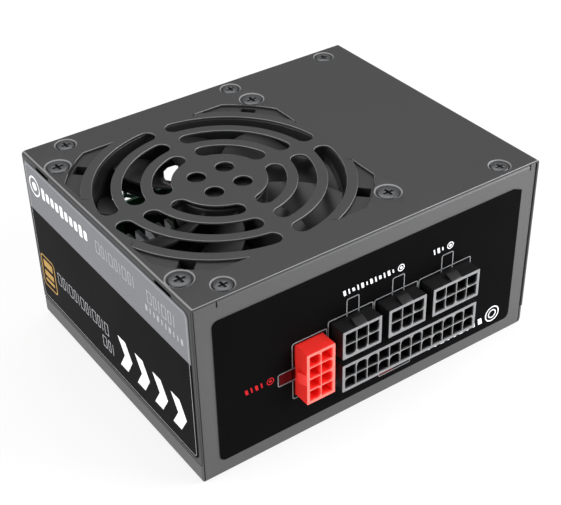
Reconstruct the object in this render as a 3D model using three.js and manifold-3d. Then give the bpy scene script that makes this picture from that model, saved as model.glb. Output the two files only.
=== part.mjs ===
// Compact desktop power supply with a folded steel case, an 80 mm fan under a
// cut-out grille, a board of power electronics, and a panel of cable sockets.
// Millimetres. +Z is up, the sockets face -Y and the mains inlet faces +Y.
// The origin is the centre of the case's underside.

import * as THREE from 'three';
import { mergeVertices } from 'three/addons/utils/BufferGeometryUtils.js';
import Module from 'manifold-3d';

const wasm = await Module();
wasm.setup();

// ---- Driving dimensions ------------------------------------------------------

const CASE = { width: 125, depth: 100, height: 63.5 };
const SHEET = 0.8;          // steel of the cover and the tray
const SEAM = 0.3;           // gap between the cover and the tray
const CLEAR = 0.3;          // gap round a piece that sits in a hole
const FACE_GAP = 0.05;      // gap between flat faces that rest on each other
const SKIRT = 7;            // height of the tray's own side strips
const TRAY_BEND = 2;        // outside radius along the tray's lower edges
const COVER_BEND = 1.2;     // outside radius along the cover's upper edges
const FLANGE = 8.4;         // reach of the tray's folded flanges from the case's faces
const FLANGE_BEND = 1;      // outside radius where a panel folds into its top flange

const FAN = { size: 79.6, thick: 15, bore: 38, hub: 14, blades: 9, tip: 37.2 };
const FAN_SCREW_PITCH = 71.5;
const FAN_OFF_CENTRE_Y = -0.8;
const FAN_HEADROOM = 1;     // space between the fan and the tallest piece under it
const GRILLE = { rings: [17.4, 26.4, 35.3], slot: 5.7, spoke: 4.4, corner: [41.4, 46.3], ledge: 1.2 };
const HUB_HOLE = { radius: 2.95, offset: 5.04 };
const COVER_SLOT = { length: 8.5, height: 1.7, fromEdge: 14 };

const COVER_SCREW = { head: 2.8, shank: 1.5, cone: 1.3, length: 5.5, dimple: 3.6, seat: 2.6 };
const FAN_SCREW = { head: 3.3, shank: 1.9, cone: 1.3, length: 9, dimple: 4.3, seat: 3 };
const HEAD_SINK = 0.3;      // how far a screw head lies below the cover's top

const PITCH = 4.2;          // socket cell pitch
const CELL = 3.5;           // socket cell width
const SOCKET = { rim: 0.8, proud: 5.6, length: 12.6, cell: 9.2, pin: 1.1, pinTip: 5.5 };
const LATCH = { width: 4, height: 1.1, length: 3.6 };
const SOCKET_ROW = { left: -16.75, bottom: 14.9, gapX: 2.75, gapZ: 2.4 };

const LABEL = 0.2;          // thickness of a stuck-on label
const FRONT_LABEL = { fromSide: 6.3, bottom: 5.4, top: 56.25, corner: 2, nick: 3.3 };
const SIDE_LABEL = { fromEdge: 1.3, bottom: 8.75, top: 61.6, corner: 2 };

const BOARD = { thick: 1.6, under: 7, fromSide: 4.5, fromRear: 5, screwInset: 6 };
const STANDOFF = { radius: 3, bore: 1.5 };
const SOCKET_BOARD = { bottom: 5, top: 44, beyond: 4 };

const INLET = { fromSide: 20.5, z: 29, width: 24.6, height: 16.8, depth: 16.4, wall: 1.5 };
const INLET_FLANGE = { side: 2, thick: 2.2 };
const BLADE = { thick: 2, width: 4, apart: 7, rise: 2, tip: 1.8, tail: 5 };
const SWITCH = { fromInlet: 2.5, z: 29, width: 11, height: 17.6, depth: 9.6, wall: 1 };
const SWITCH_FLANGE = { side: 1.2, thick: 1.8 };
const ROCKER_TILT = 11;     // lean of the rocker to either side of its middle, degrees
const VENT = { across: 6, pitch: 7.3 };
const MOUNT_HOLE = { radius: 1.75, x: 113, z: 51.5 };

// ---- Places worked out from the driving dimensions ---------------------------

const sideX = CASE.width / 2;
const faceY = CASE.depth / 2;
const panelX = sideX - SHEET - SEAM;
const panelY = faceY - SEAM;
const panelTop = CASE.height - SHEET - SEAM;
const coverUnder = CASE.height - SHEET;
const fanTop = coverUnder - FACE_GAP;
const fanUnder = fanTop - FAN.thick;
const fanX = -sideX + SHEET + SEAM + FAN.size / 2;
const fanY = FAN_OFF_CENTRE_Y;
const boardTop = BOARD.under + BOARD.thick;
const boardRest = boardTop + FACE_GAP;
const socketSpan = (cells) => cells * PITCH + 2 * SOCKET.rim;
const socketBack = -faceY - SOCKET.proud + SOCKET.length;
const socketBoardY = socketBack + FACE_GAP;
const boardFront = socketBoardY + BOARD.thick + CLEAR;
const inletX = sideX - INLET.fromSide;
const inletReach = INLET.width / 2 + INLET.wall + INLET_FLANGE.side;
const switchReach = SWITCH.width / 2 + SWITCH.wall + SWITCH_FLANGE.side;
const switchX = inletX - inletReach - SWITCH.fromInlet - switchReach;
const underFan = fanUnder - boardRest - FAN_HEADROOM;

// Three sockets stand in a row over the long one, along the same left edge. The
// upright one is left of both, half way up them. Each has two rows of cells, the
// one by its latch first: S is a square cell, and D has its far corners cut, so
// that only the right plug fits. turn is how far its latch leans from the top.
const lowerZ = SOCKET_ROW.bottom + socketSpan(2) / 2;
const upperZ = lowerZ + socketSpan(2) + SOCKET_ROW.gapZ;

function socketRow(sockets) {
  let left = SOCKET_ROW.left;
  return sockets.map(([name, ...keys]) => {
    const x = left + socketSpan(keys[0].length) / 2;
    left += socketSpan(keys[0].length) + SOCKET_ROW.gapX;
    return { name, keys, x, z: upperZ, turn: 0 };
  });
}

const SOCKETS = [
  {
    name: 'socket_24pin', keys: ['DSSDDSSDDSSD', 'SDDSSDDSSDDS'],
    x: SOCKET_ROW.left + socketSpan(12) / 2, z: lowerZ, turn: 180,
  },
  ...socketRow([
    ['socket_6pin_a', 'SSD', 'DDS'], ['socket_6pin_b', 'SSD', 'DDS'], ['socket_8pin_cpu', 'DSSD', 'SDDS'],
  ]),
  {
    name: 'socket_8pin_graphics', keys: ['DSSD', 'SDDS'],
    x: SOCKET_ROW.left - SOCKET_ROW.gapX - socketSpan(2) / 2, z: (lowerZ + upperZ) / 2, turn: 90,
  },
];

// ---- Solids from three.js geometry ------------------------------------------

const degrees = THREE.MathUtils.degToRad;

function solidOf(geometry) {
  const plain = geometry.index ? geometry.toNonIndexed() : geometry.clone();
  plain.deleteAttribute('normal');
  plain.deleteAttribute('uv');
  const merged = mergeVertices(plain, 1e-4);
  return new wasm.Manifold(new wasm.Mesh({
    numProp: 3,
    vertProperties: new Float32Array(merged.attributes.position.array),
    triVerts: new Uint32Array(merged.index.array),
  }));
}

function geometryOf(solid) {
  const mesh = solid.getMesh();
  const geometry = new THREE.BufferGeometry();
  geometry.setAttribute('position', new THREE.BufferAttribute(mesh.vertProperties, 3));
  geometry.setIndex(new THREE.BufferAttribute(mesh.triVerts, 1));
  geometry.computeVertexNormals();
  return geometry;
}

const joined = (solids) => solids.reduce((whole, piece) => whole.add(piece));
const cut = (solid, cutters) => (cutters.length ? solid.subtract(joined(cutters)) : solid);

function block(x0, x1, y0, y1, z0, z1) {
  const box = new THREE.BoxGeometry(x1 - x0, y1 - y0, z1 - z0);
  return solidOf(box.translate((x0 + x1) / 2, (y0 + y1) / 2, (z0 + z1) / 2));
}

// Outlines are lists of points. A prism along z is drawn in (x, y), one along y
// in (x, z), and one along x in (y, z).
const point = (x, y) => new THREE.Vector2(x, y);

function arc(x, y, radius, from, to, steps) {
  return Array.from({ length: steps + 1 }, (_, i) => {
    const angle = degrees(from + (to - from) * i / steps);
    return point(x + radius * Math.cos(angle), y + radius * Math.sin(angle));
  });
}

const disc = (x, y, radius, sides = 12) => arc(x, y, radius, 0, 360, sides).slice(0, -1);

const rectangle = (x0, x1, y0, y1) => [point(x0, y0), point(x1, y0), point(x1, y1), point(x0, y1)];

function roundedRectangle(x0, x1, y0, y1, r, steps = 3) {
  return [
    ...arc(x1 - r, y0 + r, r, -90, 0, steps), ...arc(x1 - r, y1 - r, r, 0, 90, steps),
    ...arc(x0 + r, y1 - r, r, 90, 180, steps), ...arc(x0 + r, y0 + r, r, 180, 270, steps),
  ];
}

const BASES = {
  x: [new THREE.Vector3(0, 1, 0), new THREE.Vector3(0, 0, 1), new THREE.Vector3(1, 0, 0)],
  y: [new THREE.Vector3(1, 0, 0), new THREE.Vector3(0, 0, 1), new THREE.Vector3(0, -1, 0)],
  z: [new THREE.Vector3(1, 0, 0), new THREE.Vector3(0, 1, 0), new THREE.Vector3(0, 0, 1)],
};

function prism(outline, axis, from, to) {
  const shape = new THREE.Shape(outline);
  const geometry = new THREE.ExtrudeGeometry(shape, { depth: to - from, bevelEnabled: false });
  geometry.translate(0, 0, axis === 'y' ? -to : from);
  return solidOf(geometry.applyMatrix4(new THREE.Matrix4().makeBasis(...BASES[axis])));
}

// A turned piece: its profile runs from bottom to top as (radius, height).
function turned(profile, sides = 24) {
  const points = profile.map(([radius, height]) => point(radius, height));
  return solidOf(new THREE.LatheGeometry(points, sides).rotateX(Math.PI / 2));
}

// A round wire along a smooth curve.
function wire(points, radius, steps) {
  const curve = new THREE.CatmullRomCurve3(points.map((p) => new THREE.Vector3(...p)));
  const shape = new THREE.Shape(disc(0, 0, radius, 8));
  return new THREE.ExtrudeGeometry(shape, { steps, extrudePath: curve, bevelEnabled: false });
}

// ---- Finishes and the list of parts ------------------------------------------

const FINISHES = {
  caseSteel: [0x3a3b3d, 0.55, 0.5],
  labelBlack: [0x0c0c0e, 0.45, 0],
  labelGrey: [0x6d6e70, 0.5, 0],
  blackPlastic: [0x111113, 0.5, 0],
  redPlastic: [0xe3170f, 0.45, 0],
  fanPlastic: [0x1c1c1e, 0.45, 0],
  board: [0x0e4a34, 0.5, 0],
  steel: [0xa8a9ab, 0.35, 1],
  blackScrew: [0x2a2a2c, 0.4, 0.8],
  brass: [0xb08d57, 0.35, 1],
  copper: [0xb4643a, 0.4, 1],
  aluminium: [0xc9cacc, 0.35, 1],
  ferrite: [0x3a3a3e, 0.6, 0],
  tape: [0xd9b23a, 0.5, 0],
  sleeve: [0x16181d, 0.4, 0],
  film: [0xe8e4d8, 0.6, 0],
  wireBlack: [0x151515, 0.6, 0],
  wireBrown: [0x5a2f1b, 0.6, 0],
};

const powerSupply = new THREE.Group();

function add(name, shape, finish) {
  const [color, roughness, metalness] = FINISHES[finish];
  const material = new THREE.MeshStandardMaterial({ color, roughness, metalness });
  const geometry = shape.isBufferGeometry ? shape : geometryOf(shape);
  const mesh = new THREE.Mesh(geometry, material);
  mesh.name = name;
  powerSupply.add(mesh);
  return mesh;
}

// ---- Screws and their seats ---------------------------------------------------

const fanScrewPlaces = [[-1, -1], [1, -1], [-1, 1], [1, 1]].map(
  ([i, j]) => [fanX + i * FAN_SCREW_PITCH / 2, fanY + j * FAN_SCREW_PITCH / 2]);

const FLANGE_SCREW_Y = faceY - 4.6;
const coverScrewPlaces = [
  [-sideX + 13.1, FLANGE_SCREW_Y], [sideX - 50, FLANGE_SCREW_Y], [sideX - 10.7, FLANGE_SCREW_Y],
  [-sideX + 13.1, -FLANGE_SCREW_Y], [sideX - 12.3, -FLANGE_SCREW_Y],
];

// A cross recess cut into the top of a screw head.
function crossRecess(top, radius, depth) {
  const half = radius * 0.14;
  const reach = radius * 0.55;
  return joined([
    block(-reach, reach, -half, half, top - depth, top + 1),
    block(-half, half, -reach, reach, top - depth, top + 1),
  ]);
}

function countersunkScrew({ head, shank, cone, length }) {
  const rim = 0.25;
  const dome = 0.25;
  const profile = [
    [0, -length], [shank, -length], [shank, -cone], [head, -rim], [head * 0.85, dome], [0, dome],
  ];
  return turned(profile, 12).subtract(crossRecess(dome, head, 1));
}

function panScrew(head, shank, height, length) {
  const profile = [
    [0, -length], [shank, -length], [shank, 0], [head, 0], [head * 0.8, height], [0, height],
  ];
  return turned(profile, 10).subtract(crossRecess(height, head, height * 0.6));
}

// The dished seat that a countersunk screw leaves through the cover's top.
function coverSeat([x, y], { dimple, seat }) {
  const over = 1;
  const slope = (dimple - seat) / SHEET;
  return turned([
    [0, coverUnder - over], [seat, coverUnder - over], [seat, coverUnder],
    [dimple, CASE.height], [dimple + slope * over, CASE.height + over], [0, CASE.height + over],
  ], 18).translate([x, y, 0]);
}

// ---- Case --------------------------------------------------------------------

function grilleSlot(radius, quarter) {
  const half = GRILLE.slot / 2;
  const inset = THREE.MathUtils.radToDeg((GRILLE.spoke / 2 + half) / radius);
  const from = quarter * 90 + inset;
  const to = quarter * 90 + 90 - inset;
  const end = (angle) => [radius * Math.cos(degrees(angle)), radius * Math.sin(degrees(angle))];
  const steps = Math.round(radius / 3.2);
  const outline = [
    ...arc(0, 0, radius + half, from, to, steps),
    ...arc(...end(to), half, to, to + 180, 5).slice(1, -1),
    ...arc(0, 0, radius - half, to, from, steps),
    ...arc(...end(from), half, from + 180, from + 360, 5).slice(1, -1),
  ];
  return prism(outline, 'z', coverUnder - 1, CASE.height + 1);
}

// Each corner of the grille is cut away between the outer ring and a ledge over the
// fan's edge.
function grilleCorner(quarter) {
  const [inner, outer] = GRILLE.corner;
  const edge = FAN.size / 2 - GRILLE.ledge;
  const start = THREE.MathUtils.radToDeg(Math.acos(edge / inner));
  const turn = THREE.MathUtils.radToDeg(Math.acos(edge / outer));
  const outline = [
    ...arc(0, 0, inner, 90 - start, start, 9),
    ...arc(0, 0, outer, turn, 90 - turn, 4),
  ];
  return prism(outline, 'z', coverUnder - 1, CASE.height + 1).rotate([0, 0, quarter * 90]);
}

function topCover() {
  const bend = COVER_BEND;
  const inner = bend - SHEET;
  const lower = SKIRT + SEAM;
  const outline = [
    point(-sideX, lower), point(-sideX + SHEET, lower),
    ...arc(-sideX + bend, CASE.height - bend, inner, 180, 90, 2),
    ...arc(sideX - bend, CASE.height - bend, inner, 90, 0, 2),
    point(sideX - SHEET, lower), point(sideX, lower),
    ...arc(sideX - bend, CASE.height - bend, bend, 0, 90, 4),
    ...arc(-sideX + bend, CASE.height - bend, bend, 90, 180, 4),
  ];
  const grille = [];
  for (let quarter = 0; quarter < 4; quarter++) {
    for (const radius of GRILLE.rings) grille.push(grilleSlot(radius, quarter));
    grille.push(grilleCorner(quarter));
    const hole = disc(HUB_HOLE.offset, HUB_HOLE.offset, HUB_HOLE.radius, 16);
    grille.push(prism(hole, 'z', coverUnder - 1, CASE.height + 1).rotate([0, 0, quarter * 90]));
  }
  const slots = [-1, 1].map((side) => {
    const y = side * (faceY - COVER_SLOT.fromEdge);
    const top = CASE.height - SHEET - 0.1;
    return block(-sideX - 1, -sideX + SHEET + 0.2, y - COVER_SLOT.length / 2,
      y + COVER_SLOT.length / 2, top - COVER_SLOT.height, top);
  });
  return cut(prism(outline, 'y', -faceY, faceY), [
    ...grille.map((piece) => piece.translate([fanX, fanY, 0])),
    ...slots,
    ...coverScrewPlaces.map((place) => coverSeat(place, COVER_SCREW)),
    ...fanScrewPlaces.map((place) => coverSeat(place, FAN_SCREW)),
  ]);
}

const boardScrewPlaces = [[-1, -1], [1, -1], [-1, 1], [1, 1]].map(([i, j]) => [
  i * (sideX - BOARD.fromSide - BOARD.screwInset),
  j < 0 ? boardFront + BOARD.screwInset : faceY - BOARD.fromRear - BOARD.screwInset,
]);

// A panel with its folded top flange, drawn on the -Y side.
function trayPanel(flangeFrom, flangeTo) {
  const r = FLANGE_BEND;
  const relief = 0.4;
  const panel = prism([
    point(-panelX, 0), point(panelX, 0), point(panelX, panelTop),
    point(flangeTo + relief, panelTop), point(flangeTo + relief, panelTop - 2 * r),
    point(flangeFrom - relief, panelTop - 2 * r), point(flangeFrom - relief, panelTop),
    point(-panelX, panelTop),
  ], 'y', -panelY, -panelY + SHEET);
  const flange = prism([
    point(-panelY, panelTop - 3 * r), ...arc(-panelY + r, panelTop - r, r, 180, 90, 3),
    point(-faceY + FLANGE, panelTop), point(-faceY + FLANGE, panelTop - SHEET),
    ...arc(-panelY + r, panelTop - r, r - SHEET, 90, 180, 2),
    point(-panelY + SHEET, panelTop - 3 * r),
  ], 'x', flangeFrom, flangeTo);
  const tabs = [-1, 1].map((side) => {
    const [near, far] = [panelX - SHEET, panelX].map((x) => side * x).sort((a, b) => a - b);
    return block(near, far, -panelY, -faceY + FLANGE, SKIRT + 2, panelTop - 4);
  });
  return joined([panel, flange, ...tabs]);
}

// The sizes of a socket across and up, as it stands in the panel.
function socketSize({ keys, turn }) {
  const size = [socketSpan(keys[0].length), socketSpan(keys.length)];
  return turn === 90 ? size.reverse() : size;
}

function socketWindow(socket, gap) {
  const [w, h] = socketSize(socket).map((size) => size / 2 + gap);
  return rectangle(socket.x - w, socket.x + w, socket.z - h, socket.z + h);
}

function ventHoles() {
  const left = -panelX + 7;
  const right = switchX - switchReach - 4;
  const bottom = SKIRT + 4.5;
  const top = panelTop - 8;
  const rowRise = VENT.pitch * Math.sqrt(3) / 2;
  const rows = Math.floor((top - bottom) / rowRise) + 1;
  const columns = Math.floor((right - left) / VENT.pitch);
  const holes = [];
  for (let row = 0; row < rows; row++) {
    for (let column = 0; column <= columns - (row % 2); column++) {
      const x = left + (column + (row % 2) / 2) * VENT.pitch;
      const z = bottom + row * rowRise;
      const hexagon = arc(x, z, VENT.across / Math.sqrt(3), 30, 390, 6).slice(0, -1);
      holes.push(prism(hexagon, 'y', panelY - SHEET - 1, panelY + 1));
    }
  }
  return holes;
}

function chassisTray() {
  const floor = block(-sideX, sideX, -panelY, panelY, 0, SHEET);
  const strips = [-1, 1].map((side) => {
    const [near, far] = [sideX - SHEET, sideX].map((x) => side * x).sort((a, b) => a - b);
    return block(near, far, -panelY, panelY, 0, SKIRT);
  });
  const front = trayPanel(-sideX + 8.5, sideX - 3.5);
  const rear = trayPanel(-sideX + 4.5, sideX - 4.5).mirror([0, 1, 0]);
  const bosses = coverScrewPlaces.map(([x, y]) => prism(disc(x, y, 3), 'z', panelTop - 3.2, panelTop - 0.1));
  const standoffs = boardScrewPlaces.map(([x, y]) =>
    prism(disc(x, y, STANDOFF.radius), 'z', 0, BOARD.under - FACE_GAP));
  // Rounding the folds along the underside trims every piece that meets them.
  const sideFold = prism(roundedRectangle(-sideX, sideX, 0, CASE.height, TRAY_BEND, 4), 'y', -faceY, faceY);
  const endFold = prism(roundedRectangle(-panelY, panelY, 0, CASE.height + 4, 1, 3), 'x', -sideX, sideX);
  const shell = joined([floor, ...strips, front, rear, ...bosses, ...standoffs])
    .intersect(sideFold).intersect(endFold);

  const cutters = [
    ...SOCKETS.map((socket) => prism(socketWindow(socket, CLEAR), 'y', -panelY - 1, -panelY + SHEET + 1)),
    ...ventHoles(),
    prism(inletOutline(CLEAR + INLET.wall), 'y', panelY - SHEET - 1, panelY + 1),
    prism(switchOutline(CLEAR + SWITCH.wall), 'y', panelY - SHEET - 1, panelY + 1),
  ];
  for (const [x, y] of coverScrewPlaces) {
    const bore = COVER_SCREW.shank + CLEAR;
    cutters.push(prism(disc(x, y, bore), 'z', panelTop - 8, panelTop + 1));
    cutters.push(prism(disc(x, y, bore + 0.55), 'z', panelTop - 0.7, panelTop + 1));
  }
  for (const [x, y] of boardScrewPlaces) {
    cutters.push(prism(disc(x, y, STANDOFF.bore, 8), 'z', SHEET, BOARD.under + 1));
  }
  for (const [i, j] of [[-1, -1], [1, -1], [-1, 1], [1, 1]]) {
    const hole = disc(i * MOUNT_HOLE.x / 2, CASE.height / 2 + j * MOUNT_HOLE.z / 2, MOUNT_HOLE.radius);
    cutters.push(prism(hole, 'y', panelY - SHEET - 1, panelY + 1));
  }
  return cut(shell, cutters);
}

function insulatingSheet() {
  const gap = 3;
  const outline = rectangle(-sideX + gap, sideX - gap, -panelY + gap, panelY - gap);
  const sheet = prism(outline, 'z', SHEET + FACE_GAP, SHEET + FACE_GAP + 0.4);
  return cut(sheet, boardScrewPlaces.map(([x, y]) =>
    prism(disc(x, y, STANDOFF.radius + CLEAR), 'z', 0, BOARD.under)));
}

function frontLabel() {
  const { fromSide, bottom, top, corner, nick } = FRONT_LABEL;
  const x = sideX - fromSide;
  const outline = [
    ...arc(x - corner, bottom + corner, corner, -90, 0, 4),
    point(x, top - nick * 0.4), point(x - nick, top),
    ...arc(-x + corner, top - corner, corner, 90, 180, 4),
    ...arc(-x + corner, bottom + corner, corner, 180, 270, 4),
  ];
  const back = -panelY - FACE_GAP;
  return cut(prism(outline, 'y', back - LABEL, back),
    SOCKETS.map((socket) => prism(socketWindow(socket, CLEAR + 0.1), 'y', back - 1, back + 1)));
}

function sideLabel() {
  const { fromEdge, bottom, top, corner } = SIDE_LABEL;
  const outline = roundedRectangle(-faceY + fromEdge, faceY - fromEdge, bottom, top, corner, 4);
  return prism(outline, 'x', -sideX - FACE_GAP - LABEL, -sideX - FACE_GAP);
}

// ---- Fan ---------------------------------------------------------------------

const HUB = { wall: 1.3, roof: 1.2, boss: 4, bossDepth: 2, top: fanTop - 1.1, bottom: fanUnder + 3.6 };
const SHAFT = 1.5;
const BEARING = { outer: 2.9, inner: SHAFT + CLEAR };
const HOLDER = { outer: 4.2, inner: BEARING.outer + CLEAR };
const SEAT = { radius: 15, thick: 1.5 };
const hubRoofUnder = HUB.top - HUB.roof;
const bearingTop = hubRoofUnder - HUB.bossDepth - CLEAR;
const seatTop = fanUnder + SEAT.thick;

function fanFrame() {
  const half = FAN.size / 2;
  const body = prism(roundedRectangle(-half, half, -half, half, 3.5, 4), 'z', fanUnder, fanTop);
  const bore = prism(disc(0, 0, FAN.bore, 44), 'z', fanUnder - 1, fanTop + 1);
  const arms = [0, 1, 2, 3].map((i) =>
    block(SEAT.radius - 1, FAN.bore + 1, -2, 2, fanUnder, fanUnder + 2).rotate([0, 0, 22 + i * 90]));
  const seat = prism(disc(0, 0, SEAT.radius, 22), 'z', fanUnder, seatTop);
  const holder = prism(disc(0, 0, HOLDER.outer, 14), 'z', fanUnder, bearingTop - 1);
  const pocket = 4.7 / 2;
  const cutters = [prism(disc(0, 0, HOLDER.inner, 14), 'z', seatTop, fanTop)];
  for (const [x, y] of fanScrewPlaces) {
    const bore = FAN_SCREW.shank + CLEAR;
    cutters.push(prism(disc(x - fanX, y - fanY, bore, 12), 'z', fanUnder - 1, fanTop + 1));
    cutters.push(prism(disc(x - fanX, y - fanY, FAN_SCREW.seat), 'z', fanTop - 1.1, fanTop + 1));
  }
  for (let i = 0; i < 4; i++) {
    const square = block(43 - pocket, 43 + pocket, -pocket, pocket, fanTop - 9, fanTop + 1);
    cutters.push(square.rotate([0, 0, 45 + i * 90]));
  }
  return cut(joined([body.subtract(bore), ...arms, seat, holder]), cutters);
}

// A blade is a thin slab wrapped round the hub, leaning from its leading edge up
// to its trailing edge and arched between them.
function fanBlade() {
  const root = FAN.hub - 0.7;
  const slab = new THREE.BoxGeometry(1, 1, 1, 3, 5, 1);
  const position = slab.attributes.position;
  const middle = (HUB.top + HUB.bottom) / 2;
  const height = HUB.top - HUB.bottom - 1.6;
  for (let i = 0; i < position.count; i++) {
    const out = position.getX(i) + 0.5;
    const along = position.getY(i);
    const radius = root + out * (FAN.tip - root);
    const angle = degrees(along * (37 - 5 * out) - 14 * out * out);
    const rise = along * height * (1 - 0.2 * out) + 1.4 * (1 - 4 * along * along);
    const thickness = 1.5 - 0.5 * out;
    position.setXYZ(i, radius * Math.cos(angle), radius * Math.sin(angle),
      middle + rise - 0.7 + position.getZ(i) * thickness);
  }
  return solidOf(slab);
}

function fanRotor() {
  const cup = turned([
    [FAN.hub - HUB.wall, HUB.bottom], [FAN.hub, HUB.bottom], [FAN.hub, HUB.top - 0.6],
    [FAN.hub - 0.6, HUB.top], [0, HUB.top], [0, hubRoofUnder], [FAN.hub - HUB.wall, hubRoofUnder],
    [FAN.hub - HUB.wall, HUB.bottom],
  ], 26);
  const boss = prism(disc(0, 0, HUB.boss), 'z', hubRoofUnder - HUB.bossDepth, hubRoofUnder + 0.4)
    .subtract(prism(disc(0, 0, SHAFT + CLEAR), 'z', hubRoofUnder - 4, hubRoofUnder));
  const blade = fanBlade();
  const blades = Array.from({ length: FAN.blades }, (_, i) => blade.rotate([0, 0, i * 360 / FAN.blades]));
  return joined([cup, boss, ...blades]);
}

function ring(outer, inner, from, to, sides) {
  return prism(disc(0, 0, outer, sides), 'z', from, to)
    .subtract(prism(disc(0, 0, inner, sides), 'z', from - 1, to + 1));
}

function fanStator() {
  const core = prism(disc(0, 0, 6.4), 'z', seatTop + 1.4, seatTop + 6.4);
  const poles = [0, 1, 2, 3].map((i) => joined([
    block(5, 9.6, -1.4, 1.4, seatTop + 2.2, seatTop + 5.6),
    prism([...arc(0, 0, 10.3, -32, 32, 3), ...arc(0, 0, 9, 28, -28, 3)], 'z', seatTop + 2, seatTop + 5.8),
    block(6, 8.4, -2.6, 2.6, seatTop + 1.5, seatTop + 6.3),
  ]).rotate([0, 0, 45 + i * 90]));
  const hole = prism(disc(0, 0, HOLDER.outer + CLEAR), 'z', fanUnder, fanTop);
  return joined([core, ...poles]).subtract(hole);
}

function addFan() {
  const atFan = (solid) => solid.translate([fanX, fanY, 0]);
  const magnet = FAN.hub - HUB.wall - CLEAR;
  add('fan_frame', atFan(fanFrame()), 'fanPlastic');
  add('fan_rotor', atFan(fanRotor()), 'fanPlastic');
  add('fan_shaft', atFan(prism(disc(0, 0, SHAFT, 12), 'z', seatTop + CLEAR, hubRoofUnder - FACE_GAP)), 'steel');
  add('fan_magnet_ring', atFan(ring(magnet, magnet - 1.4, HUB.bottom + 0.8, hubRoofUnder - FACE_GAP, 18)), 'ferrite');
  add('fan_bearing', atFan(ring(BEARING.outer, BEARING.inner, seatTop + FACE_GAP, bearingTop, 14)), 'brass');
  add('fan_stator', atFan(fanStator()), 'copper');
  add('fan_circuit_board', atFan(ring(SEAT.radius - 1.8, HOLDER.outer + CLEAR, seatTop + FACE_GAP,
    seatTop + 1.05, 16)), 'board');
}

// ---- Sockets and their board ---------------------------------------------------

// A socket is drawn round the origin with its latch at the top, then set in place.
const inPlace = (solid, { x, z, turn }) => solid.rotate([0, -turn, 0]).translate([x, 0, z]);

const cellsOf = ({ keys }) => keys.flatMap((row, down) => [...row].map((key, across) => ({
  x: (across - (row.length - 1) / 2) * PITCH,
  z: ((keys.length - 1) / 2 - down) * PITCH,
  keyed: key === 'D',
})));

function socketHousing(socket) {
  const front = -faceY - SOCKET.proud;
  const w = socketSpan(socket.keys[0].length) / 2;
  const h = socketSpan(socket.keys.length) / 2;
  const body = prism(rectangle(-w, w, -h, h), 'y', front, socketBack);
  const start = front + 0.3;
  const end = front + LATCH.length;
  const latch = prism([
    point(start, h - 0.3), point(end, h - 0.3), point(end, h + LATCH.height),
    point(end - 1, h + LATCH.height), point(start, h + 0.15),
  ], 'x', -LATCH.width / 2, LATCH.width / 2);
  const half = CELL / 2;
  const hole = SOCKET.pin / 2 + CLEAR;
  const cutters = cellsOf(socket).flatMap(({ x, z, keyed }) => {
    const bevel = 1;
    const foot = keyed
      ? [point(x - half, z - half + bevel), point(x - half + bevel, z - half),
        point(x + half - bevel, z - half), point(x + half, z - half + bevel)]
      : [point(x - half, z - half), point(x + half, z - half)];
    const outline = [...foot, point(x + half, z + half), point(x - half, z + half)];
    return [
      prism(outline, 'y', front - 1, front + SOCKET.cell),
      block(x - hole, x + hole, front, socketBack + 1, z - hole, z + hole),
    ];
  });
  return inPlace(cut(body.add(latch), cutters), socket);
}

// The upright board behind the front panel, with the sockets' pins soldered to it.
function socketBoard() {
  const edges = SOCKETS.flatMap((socket) => {
    const half = socketSize(socket)[0] / 2;
    return [socket.x - half, socket.x + half];
  });
  const board = block(Math.min(...edges) - SOCKET_BOARD.beyond, Math.max(...edges) + SOCKET_BOARD.beyond,
    socketBoardY, socketBoardY + BOARD.thick, SOCKET_BOARD.bottom, SOCKET_BOARD.top);
  const half = SOCKET.pin / 2;
  const tip = -faceY - SOCKET.proud + SOCKET.pinTip;
  const pins = SOCKETS.flatMap((socket) => cellsOf(socket).map(({ x, z }) =>
    inPlace(block(x - half, x + half, tip, socketBoardY + 0.4, z - half, z + half), socket)));
  return joined([board, ...pins]);
}

// ---- Mains inlet and switch ------------------------------------------------------

function inletOutline(grow) {
  const x0 = inletX - INLET.width / 2 - grow;
  const x1 = inletX + INLET.width / 2 + grow;
  const z0 = INLET.z - INLET.height / 2 - grow;
  const z1 = INLET.z + INLET.height / 2 + grow;
  const bevel = 4.5;
  return [point(x0, z0), point(x1, z0), point(x1, z1 - bevel), point(x1 - bevel, z1),
    point(x0 + bevel, z1), point(x0, z1 - bevel)];
}

const inletBlades = [
  { name: 'inlet_blade_live', x: inletX - BLADE.apart, z: INLET.z - BLADE.rise },
  { name: 'inlet_blade_neutral', x: inletX + BLADE.apart, z: INLET.z - BLADE.rise },
  { name: 'inlet_blade_earth', x: inletX, z: INLET.z + BLADE.rise },
];
const inletMouth = panelY + FACE_GAP + INLET_FLANGE.thick;
const inletFloor = inletMouth - INLET.depth;
const inletBack = inletFloor - 2;
const bladeTail = inletBack - BLADE.tail;

function inletHousing() {
  const w = inletReach;
  const h = INLET.height / 2 + INLET.wall + INLET_FLANGE.side;
  const flange = prism(roundedRectangle(inletX - w, inletX + w, INLET.z - h, INLET.z + h, 1.5),
    'y', panelY + FACE_GAP, inletMouth);
  const body = prism(inletOutline(INLET.wall), 'y', inletBack, inletMouth - 1);
  const cavity = prism(inletOutline(0), 'y', inletFloor, inletMouth + 1);
  const slots = inletBlades.map(({ x, z }) => {
    const a = BLADE.thick / 2 + CLEAR;
    const b = BLADE.width / 2 + CLEAR;
    return block(x - a, x + a, inletBack - 1, inletFloor + 1, z - b, z + b);
  });
  return cut(flange.add(body), [cavity, ...slots]);
}

function inletBlade({ x, z }) {
  const tip = inletMouth - BLADE.tip;
  const a = BLADE.thick / 2;
  const b = BLADE.width / 2;
  const chamfer = 0.6;
  const outline = [point(bladeTail, z - b), point(tip - chamfer, z - b), point(tip, z - b + chamfer),
    point(tip, z + b - chamfer), point(tip - chamfer, z + b), point(bladeTail, z + b)];
  return prism(outline, 'x', x - a, x + a);
}

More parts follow.
